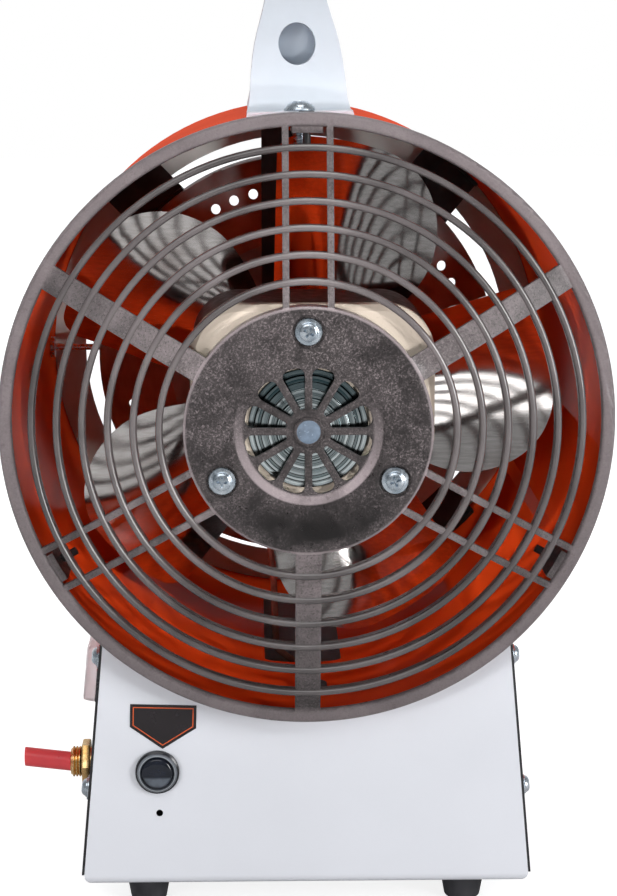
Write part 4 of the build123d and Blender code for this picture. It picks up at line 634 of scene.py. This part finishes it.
def make_finishes(colours):
    """Makes every finish, by the name of the material slot that it serves."""
    finishes.update(
        orange_enamel=make_plain(
            "orange_enamel", dark(colours.enamel, 0.88), colours.enamel,
            (9, 3, 0.5, 0.35, 0.65), (60, 4, 0.28, 0.42), (420, 2, 0.00006, 0.35),
            Specular_IOR_Level=0.0, Coat_Weight=0.1, Coat_Roughness=0.12, Coat_IOR=1.35,
        ),
        light_enamel=make_plain(
            "light_enamel", dark(colours.panel, 0.965), colours.panel,
            (14, 3, 0.5, 0.35, 0.65), (140, 3, 0.3, 0.42), (900, 3, 0.00004, 0.4),
            Coat_Weight=0.25, Coat_Roughness=0.2,
        ),
        black_enamel=make_plain(
            "black_enamel", (0.014, 0.014, 0.016), (0.026, 0.026, 0.029),
            (20, 3, 0.5, 0.35, 0.65), (140, 3, 0.26, 0.4), (900, 3, 0.00005, 0.5),
        ),
        black_screw=make_plain(
            "black_paint", (0.008, 0.008, 0.009), (0.03, 0.029, 0.03),
            (120, 4, 0.5, 0.4, 0.7), (500, 3, 0.35, 0.6), (1600, 2, 0.00005, 0.5),
        ),
        zinc=make_plain(
            "bright_zinc", (0.44, 0.51, 0.58), (0.76, 0.82, 0.88),
            (260, 4, 0.6, 0.36, 0.68), (700, 3, 0.16, 0.36), (1800, 3, 0.00003, 0.5),
            Metallic=1.0,
        ),
        guard_boss=make_plain(
            "guard_boss", dark(colours.boss, 0.55), colours.boss,
            (330, 4, 0.6, 0.34, 0.68), (500, 3, 0.14, 0.3), (700, 3, 0.00006, 0.5),
            Specular_IOR_Level=0.8,
        ),
        guard_nylon=make_guard_plastic(colours),
        guard_ring=make_guard_ring(colours),
        turned_zinc=make_turned_zinc(),
        galvanised=make_galvanised(),
        heat_steel=make_tinted_steel(),
        motor_plastic=make_housing(colours),
        fan_aluminium=make_fan_sheet(),
        core_steel=make_core_steel(),
        bezel=make_bezel(),
        button_gloss=make_button(),
        clear_cover=make_clear_hood(),
    )
    # cast or turned metals, with a little tarnish
    for name, low, high, smooth, rough in (
        ("copper", (0.5, 0.22, 0.12), (0.82, 0.42, 0.26), 0.2, 0.4),
        ("bronze", (0.36, 0.22, 0.1), (0.56, 0.36, 0.18), 0.4, 0.6),
        ("brass", (0.72, 0.44, 0.16), (0.95, 0.7, 0.36), 0.16, 0.36),
    ):
        finishes[name] = make_plain(
            name, low, high, (180, 4, 0.6, 0.35, 0.68), (540, 3, smooth, rough),
            (1080, 2, 0.00004, 0.5), Metallic=1.0,
        )
    # moulded plastics and rubber, with faint flow and grain
    for name, low, high, smooth, rough, scale, sockets in (
        ("lip_paint", (0.5, 0.55, 0.53), (0.62, 0.67, 0.65), 0.4, 0.6, 60, {}),
        ("plate_face", dark(colours.plate, 0.7), colours.plate, 0.2, 0.3, 90, {}),
        ("plate_line", dark(colours.plate_line, 0.85), colours.plate_line, 0.3, 0.4, 90, {}),
        ("handle_plastic", dark(colours.handle, 0.93), colours.handle, 0.3, 0.42, 40, {}),
        ("foot_rubber", (0.02, 0.02, 0.023), (0.045, 0.044, 0.05), 0.5, 0.75, 150, {}),
        ("lead_silicone", (0.42, 0.2, 0.15), (0.6, 0.33, 0.26), 0.4, 0.55, 150, {}),
        ("lead_black", (0.01, 0.01, 0.01), (0.03, 0.03, 0.03), 0.4, 0.6, 150, {}),
        ("ceramic", (0.72, 0.68, 0.62), (0.84, 0.81, 0.76), 0.12, 0.25, 150,
         {"Coat_Weight": 0.6}),
        ("black_plastic", (0.006, 0.006, 0.007), (0.014, 0.014, 0.015), 0.14, 0.3, 150,
         {"Specular_IOR_Level": 0.7}),
        # painted shade for the pin hole
        ("hole_black", (0.001, 0.001, 0.001), (0.002, 0.002, 0.002), 0.8, 1.0, 150,
         {"Specular_IOR_Level": 0.0}),
        ("red_plastic", dark(colours.plug, 0.92), colours.plug, 0.25, 0.45, 150,
         {"Subsurface_Weight": 0.1}),
    ):
        finishes[name] = make_plain(
            name, low, high, (scale, 4, 0.5, 0.35, 0.68), (scale * 2, 3, smooth, rough),
            (scale * 8, 2, 0.00004, 0.5), **sockets,
        )


# ---- Making pieces ----

slots = {item["node"]: item["material_slot"] for item in frame["record"]["subparts"]}
bodies = {
    node: body for body, nodes in frame["record"]["behaviour"]["bodies"].items() for node in nodes
}


def mesh_of(name, bm):
    """A mesh of a bmesh, which it uses up."""
    mesh = bpy.data.meshes.new(name)
    bm.to_mesh(mesh)
    bm.free()
    return mesh


def add(name, data):
    """A new object in the scene."""
    made = bpy.data.objects.new(name, data)
    bpy.context.scene.collection.objects.link(made)
    return made


def finish_piece(name, bm, slot, body="heater", angle=35, finish=None):
    """Makes an object of a bmesh, gives it its finish and lets it ride on a body."""
    mesh = mesh_of(name, bm)
    mesh.polygons.foreach_set("use_smooth", [True] * len(mesh.polygons))
    mesh.set_sharp_from_angle(angle=radians(angle))
    piece = add(name, mesh)
    mesh.materials.append(finishes[finish or slot].material)
    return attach(piece, body)


def replacement(node, bm, angle=30, finish=None):
    """A piece that takes the place of a CAD node."""
    piece = finish_piece(node + "_dressed", bm, slots[node], bodies[node], angle, finish)
    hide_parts(node)
    return piece


def dressed(node, finish=None, bevel=0.0, segments=2, flat=0.5):
    """A smooth copy of a CAD node, with rounded edges, that takes its place."""
    bm = bmesh.new()
    bm.from_mesh(frame["nodes"][node].data)
    bmesh.ops.remove_doubles(bm, verts=bm.verts, dist=0.000004)
    bmesh.ops.dissolve_limit(
        bm, angle_limit=radians(flat), verts=bm.verts, edges=bm.edges, delimit=set()
    )
    piece = replacement(node, bm, 32, finish)
    if bevel:
        modifier = piece.modifiers.new("Edges", "BEVEL")
        modifier.width = bevel
        modifier.segments = segments
        modifier.limit_method = "ANGLE"
        modifier.angle_limit = radians(40)
        modifier.harden_normals = True
        modifier.use_clamp_overlap = True
    return piece


def turned(profile, segments=48, closed=False):
    """A bmesh of a profile of (radius, height) points that is spun round Z."""
    bm = bmesh.new()
    points = [bm.verts.new((radius, 0, height)) for radius, height in profile]
    pairs = list(zip(points, points[1:]))
    if closed:
        pairs.append((points[-1], points[0]))
    edges = [bm.edges.new(pair) for pair in pairs]
    bmesh.ops.spin(
        bm, geom=points + edges, axis=(0, 0, 1), cent=(0, 0, 0), angle=2 * pi, steps=segments,
        use_merge=True,
    )
    bmesh.ops.remove_doubles(bm, verts=bm.verts, dist=0.000001)
    bmesh.ops.recalc_face_normals(bm, faces=bm.faces)
    return bm


def cross_screw(profile, arm, half_width, depth, segments=32):
    """A turned screw, from its tip to the rim of its flat top, which takes a cross recess."""
    bm = turned(profile, segments)
    rim = [edge for edge in bm.edges if edge.is_boundary]
    top = profile[-1][1]
    corners = []
    for turn in range(4):
        quarter = Matrix.Rotation(turn * pi / 2, 4, "Z")
        for x, y in ((arm, -half_width), (arm, half_width), (half_width, half_width)):
            corners.append(bm.verts.new(quarter @ Vector((x, y, top))))
    cross = [bm.edges.new(pair) for pair in zip(corners, corners[1:] + corners[:1])]
    bmesh.ops.bridge_loops(bm, edges=rim + cross)
    low = bmesh.ops.extrude_edge_only(bm, edges=cross)["geom"]
    floor = [item for item in low if isinstance(item, bmesh.types.BMVert)]
    bmesh.ops.translate(bm, vec=(0, 0, -depth), verts=floor)
    bmesh.ops.scale(bm, vec=(0.5, 0.5, 1), verts=floor)
    bmesh.ops.contextual_create(
        bm, geom=[item for item in low if isinstance(item, bmesh.types.BMEdge)]
    )
    bmesh.ops.recalc_face_normals(bm, faces=bm.faces)
    return bm


def chamfered(length, end_r, shank_r, chamfer):
    """The start of a profile: the end of a shank, a length below 0."""
    return [(0, -length), (end_r, -length), (shank_r, chamfer - length)]


def thread(start, outer, inner, turns, pitch):
    """The part of a profile that is a thread, from the height of its start."""
    points = []
    for turn in range(turns):
        height = start + turn * pitch
        crest = [(outer, height + pitch * share) for share in THREAD_CREST]
        points += [(inner, height), *crest, (inner, height + pitch)]
    return points


def placed(bm, place):
    """The bmesh, moved from the origin to its place."""
    bmesh.ops.transform(bm, matrix=place, verts=bm.verts)
    return bm


def joined(parts):
    """One bmesh of many, each put in its place."""
    whole = bmesh.new()
    for part, place in parts:
        mesh = mesh_of("part", placed(part, place))
        whole.from_mesh(mesh)
        bpy.data.meshes.remove(mesh)
    return whole


def facing(x, y, z, outwards=REAR):
    """A place whose Z points outwards and whose Y points upwards."""
    out = Vector(outwards).normalized()
    right = Vector((0, 0, 1)).cross(out).normalized()
    place = Matrix((right, out.cross(right), out)).transposed().to_4x4()
    place.translation = (x, y, z)
    return place


def on_side(side, y, z, out):
    """A place on a leaning side of the base, the distance out beyond it."""
    normal = Vector((side, 0, BASE_LEAN)).normalized()
    half = BASE_HALF - BASE_LEAN * (z - BASE_BOTTOM_Z)
    spot = Vector((side * half, y, z)) + normal * out
    return facing(*spot, normal)


def cut_out(piece, cutter):
    """Takes a bmesh out of a piece."""
    mesh = mesh_of("cutter", cutter)
    tool = add("cutter", mesh)
    modifier = piece.modifiers.new("Holes", "BOOLEAN")
    modifier.operation = "DIFFERENCE"
    modifier.solver = "EXACT"
    modifier.object = tool
    bpy.context.view_layer.update()
    cut = bpy.data.meshes.new_from_object(
        piece.evaluated_get(bpy.context.evaluated_depsgraph_get())
    )
    piece.modifiers.remove(modifier)
    piece.data = cut
    bpy.data.objects.remove(tool)
    bpy.data.meshes.remove(mesh)


def dome_y(r):
    """Where the guard's dome lies along the tube at the radius r."""
    return GUARD_REAR_Y - (sqrt(DOME_R**2 - r**2) - sqrt(DOME_R**2 - GUARD_INNER_R**2))


def plate_sheet(width, thick, inset):
    """A bmesh of the plate, or of the line along its edge if there is an inset."""
    bm = bmesh.new()
    outline = [
        bm.verts.new((x * width, -drop, 0))
        for x, drop in (
            (-0.5, 0), (0.5, 0), (0.5, PLATE_SIDE), (0, PLATE_HEIGHT), (-0.5, PLATE_SIDE)
        )
    ]
    bmesh.ops.recalc_face_normals(bm, faces=[bm.faces.new(outline)])
    if inset:
        middle = list(bm.faces)
        edge = bmesh.ops.inset_region(
            bm, faces=middle, thickness=inset, use_boundary=True, use_even_offset=True
        )
        bmesh.ops.delete(bm, context="FACES", geom=edge["faces"])
        bmesh.ops.inset_region(
            bm, faces=middle, thickness=LINE_WIDTH, use_boundary=True, use_even_offset=True
        )
        bmesh.ops.delete(bm, context="FACES", geom=middle)
    bmesh.ops.solidify(bm, geom=list(bm.faces), thickness=thick)
    bmesh.ops.recalc_face_normals(bm, faces=bm.faces)
    low = min(vert.co.z for vert in bm.verts)
    bmesh.ops.translate(bm, vec=(0, 0, -low - thick / 2), verts=bm.verts)
    return bm


# ---- The stage ----


def add_camera(stage):
    data = bpy.data.cameras.new("Camera")
    data.lens = stage.lens
    data.sensor_width = SENSOR_WIDTH
    data.clip_start = 0.01
    camera = add("Camera", data)
    camera.location = stage.camera_place
    camera.rotation_euler = (pi / 2 - stage.camera_pitch, 0, -stage.camera_yaw)
    bpy.context.scene.camera = camera


def add_lamp(name, kind, place, target, watts, mirrored):
    """Adds a lamp that looks at its target, and gives its data."""
    data = bpy.data.lights.new(name, kind)
    data.energy = watts
    lamp = add(name, data)
    lamp.location = place
    aim = Vector(target) - Vector(place)
    lamp.rotation_euler = aim.to_track_quat("-Z", "Y").to_euler()
    lamp.visible_glossy = mirrored
    return data


def make_room(stage):
    """White for the camera. For the heater, dim behind the camera and bright on the far side."""
    world = bpy.data.worlds.new("Room")
    bpy.context.scene.world = world
    world.use_nodes = True
    room = Tree(world.node_tree)
    room.tree.nodes.clear()
    rays = room.node("ShaderNodeLightPath").outputs
    seen = room.reckon("MAXIMUM", rays["Is Camera Ray"], rays["Is Transmission Ray"])
    along = room.split(room.node("ShaderNodeTexCoord").outputs["Generated"])["Y"]
    light = room.stretch(along, *ROOM_SPAN, stage.room_behind, stage.room_ahead, smooth=True)
    mirrored = room.stretch(along, *MIRROR_SPAN, *MIRROR_LIGHT, smooth=True)
    either = room.node("ShaderNodeMix")
    room.link(rays["Is Glossy Ray"], either.inputs["Factor"])
    room.link(light, either.inputs["A"])
    room.link(mirrored, either.inputs["B"])
    lit = room.node("ShaderNodeBackground")
    room.fill(lit, Color=ROOM_TINT)
    room.link(either.outputs["Result"], lit.inputs["Strength"])
    white = room.node("ShaderNodeBackground")
    room.fill(white, Color=WHITE)
    mix = room.node("ShaderNodeMixShader")
    room.link(seen, mix.inputs["Fac"])
    room.link(lit.outputs["Background"], mix.inputs[1])
    room.link(white.outputs["Background"], mix.inputs[2])
    output = room.node("ShaderNodeOutputWorld")
    room.link(mix.outputs["Shader"], output.inputs["Surface"])


def add_floor():
    """A grey floor that glows for the camera and, beyond the heater, in mirrors."""
    grid = bmesh.new()
    bmesh.ops.create_grid(grid, x_segments=1, y_segments=1, size=FLOOR_HALF)
    floor = add("Floor", mesh_of("Floor", grid))
    made = Finish("floor", Base_Color=FLOOR_GREY, Roughness=0.8, Emission_Color=WHITE)
    rays = made.node("ShaderNodeLightPath").outputs
    beyond = made.stretch(made.split(made.place())["Y"], *FLOOR_SPAN)
    mirrored = made.reckon("MAXIMUM", rays["Is Glossy Ray"], rays["Is Transmission Ray"])
    glow = made.reckon("MAXIMUM", rays["Is Camera Ray"], made.times(mirrored, beyond))
    made.link(made.times(glow, FLOOR_GLOW), made.shader.inputs["Emission Strength"])
    floor.data.materials.append(made.material)


# ---- Operators ----


class HEATER_OT_stage(bpy.types.Operator):
    """Set up the camera, the lamps, the white room and the floor"""

    bl_idname = "heater.stage"
    bl_label = "Stage"

    def execute(self, context):
        stage = context.scene.heater_stage
        add_camera(stage)
        for name, place, size, setting, mirrored in AREA_LAMPS:
            data = add_lamp(name, "AREA", place, LAMP_AIM, getattr(stage, setting), mirrored)
            data.shape = "RECTANGLE"
            data.size, data.size_y = size
        for name, place, height, share in INSIDE_SPOTS:
            data = add_lamp(
                name, "SPOT", place, (0, SPOT_AIM_Y, height), stage.inside_power * share, False
            )
            data.spot_size = stage.inside_cone
            data.spot_blend = SPOT_BLEND
            data.shadow_soft_size = SPOT_SOFTNESS
        make_room(stage)
        add_floor()
        return {"FINISHED"}


class HEATER_OT_finishes(bpy.types.Operator):
    """Make the finishes and give every solid piece its own"""

    bl_idname = "heater.finishes"
    bl_label = "Finishes"

    def execute(self, context):
        make_finishes(context.scene.heater_colours)
        for node in frame["nodes"]:
            materials = frame["nodes"][node].data.materials
            materials.clear()
            materials.append(finishes[slots[node]].material)
        return {"FINISHED"}


class HEATER_OT_guard(bpy.types.Operator):
    """Dress the guard and its screws, with a dish in its middle and round beads on its rings"""

    bl_idname = "heater.guard"
    bl_label = "Guard"

    def execute(self, context):
        sizes = context.scene.heater_sizes
        guard = dressed("rear_guard", bevel=sizes.edge, segments=3)
        dressed("guard_screws", bevel=SCREW_EDGE)
        middle = facing(0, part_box("rear_guard")[0][1], AXIS_Z)
        cut_out(guard, placed(turned(BOSS_HOLLOW), middle))
        dish = placed(turned(BOSS_DISH), middle)
        finish_piece("guard_button", dish, "guard_nylon", finish="guard_boss")
        rings = []
        for k in range(RING_COUNT):
            r = RING_R[0] + (RING_R[1] - RING_R[0]) * k / (RING_COUNT - 1)
            section = [(r + BEAD_R * cos(turn), BEAD_R * sin(turn)) for turn in BEAD_TURNS]
            place = facing(0, dome_y(r) - RING_PROUD + BEAD_IN, AXIS_Z)
            rings.append((turned(section, 180, closed=True), place))
        finish_piece("guard_rings", joined(rings), "guard_nylon", angle=60, finish="guard_ring")
        return {"FINISHED"}


class HEATER_OT_tube(bpy.types.Operator):
    """Dress the tube and what shows inside it, drill the cone and face the lip"""

    bl_idname = "heater.tube"
    bl_label = "Tube"

    def execute(self, context):
        dressed("casing_tube")
        cone = dressed("combustion_cone")
        drills = []
        for angle in CONE_HOLE_ANGLES:
            drill = bmesh.new()
            bmesh.ops.create_cone(
                drill, cap_ends=True, segments=24, radius1=DRILL_R, radius2=DRILL_R,
                depth=DRILL_DEPTH,
            )
            spot = Matrix.Translation((0, 0, AXIS_Z)) @ Matrix.Rotation(radians(90 - angle), 4, "Y")
            along = Matrix.Rotation(radians(-90), 4, "X")
            out = Matrix.Translation((0, CONE_HOLE_Y, CONE_HOLE_OUT))
            drills.append((drill, spot @ out @ along))
        cut_out(cone, joined(drills))
        for node in ("chamber_brackets", "flame_disc", "burner_head"):
            dressed(node)
        # near-black paint on the burner bracket: partly its own dark steel, partly painted shade
        # for how dark it shows deep in the tube
        dressed("burner_bracket", finish="black_screw")
        # a grey-green facing laid on the rear face of the lip at the tube's hot end
        inner, outer = LIP_R
        corners = (inner, 0), (inner, LIP_THICK), (outer, LIP_THICK), (outer, 0)
        lip = turned(corners, 96, closed=True)
        place = facing(0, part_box("casing_tube")[1][1] - LIP_IN, AXIS_Z)
        finish_piece("lip_facing", placed(lip, place), "galvanised", finish="lip_paint")
        return {"FINISHED"}


class HEATER_OT_motor(bpy.types.Operator):
    """Dress the motor and the fan, and turn the motor's long screws"""

    bl_idname = "heater.motor"
    bl_label = "Motor and fan"

    def execute(self, context):
        dressed("motor_housing", bevel=HOUSING_EDGE)
        dressed("motor_end_cap", finish="turned_zinc", bevel=SCREW_EDGE)
        dressed("fan_impeller", flat=0.05)
        low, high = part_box("motor_screws")
        shank = chamfered(high[1] - low[1], *MOTOR_SCREW_END)
        screws = []
        for angle in MOTOR_SCREW_ANGLES:
            x = MOTOR_SCREW_CIRCLE_R * cos(radians(angle))
            z = AXIS_Z + MOTOR_SCREW_CIRCLE_R * sin(radians(angle))
            screw = cross_screw((*shank, *MOTOR_SCREW_HEAD), *MOTOR_SCREW_CROSS)
            turn = Matrix.Rotation(radians(angle * 1.7), 4, "Z")
            screws.append((screw, facing(x, low[1], z) @ turn))
        replacement("motor_screws", joined(screws))
        return {"FINISHED"}


class HEATER_OT_base(bpy.types.Operator):
    """Dress the base, its covers and its feet, turn the screws and lay on the bare plate"""

    bl_idname = "heater.base"
    bl_label = "Base"

    def execute(self, context):
        sizes = context.scene.heater_sizes
        for node in ("base_channel", "left_side_cover", "right_side_cover"):
            dressed(node, bevel=sizes.sheet_edge)
        dressed("rubber_feet", bevel=FOOT_EDGE, segments=4)
        for node in ("cover_washers", "cable_gland"):
            dressed(node, bevel=WASHER_EDGE)
        screws = []
        for side in (-1, 1):
            for y in COVER_SCREW_YS:
                for z in COVER_SCREW_ZS:
                    screw = cross_screw(COVER_SCREW, *COVER_SCREW_CROSS, segments=28)
                    turn = Matrix.Rotation(y * 9 + z * 23, 4, "Z")
                    screws.append((screw, on_side(side, y, z, COVER_SCREW_OUT) @ turn))
        replacement("side_cover_screws", joined(screws))
        turn = Matrix.Rotation(sizes.plate_turn, 4, "Z")
        for name, slot, finish, thick, inset in (
            ("plate", "black_enamel", "plate_face", PLATE_THICK, 0),
            ("plate_line", "orange_enamel", "plate_line", LINE_THICK, LINE_IN),
        ):
            sheet = plate_sheet(sizes.plate_width, thick, inset)
            place = facing(PLATE_X, BASE_REAR_Y - thick / 2, PLATE_Z) @ turn
            finish_piece(name, placed(sheet, place), slot, finish=finish)
        return {"FINISHED"}


class HEATER_OT_igniter(bpy.types.Operator):
    """Turn the igniter's bezel and its button, and lay a black disc of painted shade over the pin
    hole
    """

    bl_idname = "heater.igniter"
    bl_label = "Igniter"

    def execute(self, context):
        low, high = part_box("igniter_bezel")
        back = [(radius, low[1] - high[1]) for radius in BEZEL_R]
        bezel = turned((*back, *BEZEL_RIM), 64, closed=True)
        place = facing(IGNITER_X, low[1], IGNITER_Z)
        replacement("igniter_bezel", placed(bezel, place), finish="bezel")
        # painted shade: a black disc over the pin hole
        place = facing(PIN_HOLE_X, BASE_REAR_Y, PIN_HOLE_Z)
        hole = placed(turned(PIN_HOLE, 32), place)
        finish_piece("pin_hole", hole, "black_plastic", finish="hole_black")
        low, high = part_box("igniter_button")
        end = chamfered(high[1] - low[1], *BUTTON_END)
        place = facing(IGNITER_X, low[1], IGNITER_Z)
        button = placed(turned((*end, *BUTTON_FACE), 64), place)
        replacement("igniter_button", button, finish="button_gloss")
        return {"FINISHED"}


class HEATER_OT_inlet(bpy.types.Operator):
    """Turn the gas inlet with its thread and hexagon, and dress its plug"""

    bl_idname = "heater.inlet"
    bl_label = "Gas inlet"

    def execute(self, context):
        sizes = context.scene.heater_sizes
        low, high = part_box("gas_inlet_fitting")
        root = [(radius, low[0] - high[0]) for radius in INLET_R]
        grooves = thread(*INLET_THREAD, sizes.thread_pitch)
        stub = turned((*root, *INLET_NECK, *grooves, *INLET_END), 64, closed=True)
        place = Matrix(((0, 0, -1), (0, 1, 0), (1, 0, 0))).to_4x4()
        place.translation = (low[0], INLET_Y, (low[2] + high[2]) / 2)
        hexagon = bmesh.new()
        bmesh.ops.create_cone(
            hexagon, cap_ends=True, segments=6, radius1=HEXAGON_R, radius2=HEXAGON_R,
            depth=HEXAGON_THICK,
        )
        rims = [
            edge for edge in hexagon.edges
            if abs(edge.verts[0].co.z - edge.verts[1].co.z) < 0.00001
        ]
        bmesh.ops.bevel(
            hexagon, geom=rims, offset=HEXAGON_EDGE, segments=2, profile=0.5, affect="EDGES",
            material=-1,
        )
        behind = place @ Matrix.Translation((0, 0, -HEXAGON_IN))
        replacement("gas_inlet_fitting", joined([(stub, place), (hexagon, behind)]), 28)

        plug = dressed("inlet_plug", bevel=PLUG_EDGE, segments=3)
        for vert in plug.data.vertices:
            vert.co.z += max(0.0, low[0] - PLUG_IN - vert.co.x) * sizes.plug_tilt
        return {"FINISHED"}


class HEATER_OT_switch(bpy.types.Operator):
    """Dress the rocker switch and its clear hood"""

    bl_idname = "heater.switch"
    bl_label = "Switch"

    def execute(self, context):
        for node in ("switch_body", "switch_rocker", "switch_cover"):
            dressed(node, bevel=SWITCH_EDGE)
        return {"FINISHED"}


class HEATER_OT_handle(bpy.types.Operator):
    """Dress the carrying handle, raise the floor of its hollow and turn its bolts"""

    bl_idname = "heater.handle"
    bl_label = "Handle"

    def execute(self, context):
        dressed("carry_handle", bevel=HANDLE_EDGE, segments=4, flat=0.05)
        place = facing(*THUMB_PLACE) @ Matrix.Diagonal((*THUMB_REST, 1, 1))
        rest = placed(turned(THUMB_DOME), place)
        finish_piece("thumb_rest", rest, "handle_plastic", angle=60)
        low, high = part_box("handle_bolts")
        length = (high[2] - low[2]) / cos(HANDLE_LEAN)
        start, end = BOLT_THREAD_SPAN
        profile = [
            *chamfered(length, *BOLT_END), *thread(start - length, *BOLT_THREAD),
            (BOLT_THREAD[0], end - length), *BOLT_HEAD,
        ]
        bolts = []
        for y in HANDLE_BOLT_YS:
            bolt = cross_screw(profile, *BOLT_CROSS)
            lean = Matrix.Translation((0, y, AXIS_Z)) @ Matrix.Rotation(HANDLE_LEAN, 4, "Y")
            bolts.append((bolt, lean @ Matrix.Translation((0, 0, high[2] - AXIS_Z))))
        replacement("handle_bolts", joined(bolts))
        return {"FINISHED"}


OPERATORS = (
    HEATER_OT_stage, HEATER_OT_finishes, HEATER_OT_guard, HEATER_OT_tube, HEATER_OT_motor,
    HEATER_OT_base, HEATER_OT_igniter, HEATER_OT_inlet, HEATER_OT_switch, HEATER_OT_handle,
)


class HEATER_PT_panel(bpy.types.Panel):
    """Lists the steps that dress the heater, and their settings"""

    bl_idname = "HEATER_PT_panel"
    bl_label = "Heater"
    bl_space_type = "VIEW_3D"
    bl_region_type = "UI"
    bl_category = "Heater"

    def draw(self, context):
        layout = self.layout
        for operator in OPERATORS:
            layout.operator(operator.bl_idname)
        for settings in (
            context.scene.heater_sizes, context.scene.heater_colours, context.scene.heater_stage
        ):
            for key in settings.__annotations__:
                layout.prop(settings, key)


CLASSES = (HeaterColours, HeaterSizes, HeaterStage, *OPERATORS, HEATER_PT_panel)


def register():
    for item in CLASSES:
        bpy.utils.register_class(item)
    bpy.types.Scene.heater_colours = PointerProperty(type=HeaterColours)
    bpy.types.Scene.heater_sizes = PointerProperty(type=HeaterSizes)
    bpy.types.Scene.heater_stage = PointerProperty(type=HeaterStage)


def unregister():
    del bpy.types.Scene.heater_stage
    del bpy.types.Scene.heater_sizes
    del bpy.types.Scene.heater_colours
    for item in reversed(CLASSES):
        bpy.utils.unregister_class(item)


def main():
    register()
    bpy.context.scene.view_settings.view_transform = "Standard"
    for operator in OPERATORS:
        getattr(bpy.ops.heater, operator.bl_idname.partition(".")[2])()


if __name__ == "__main__":
    main()
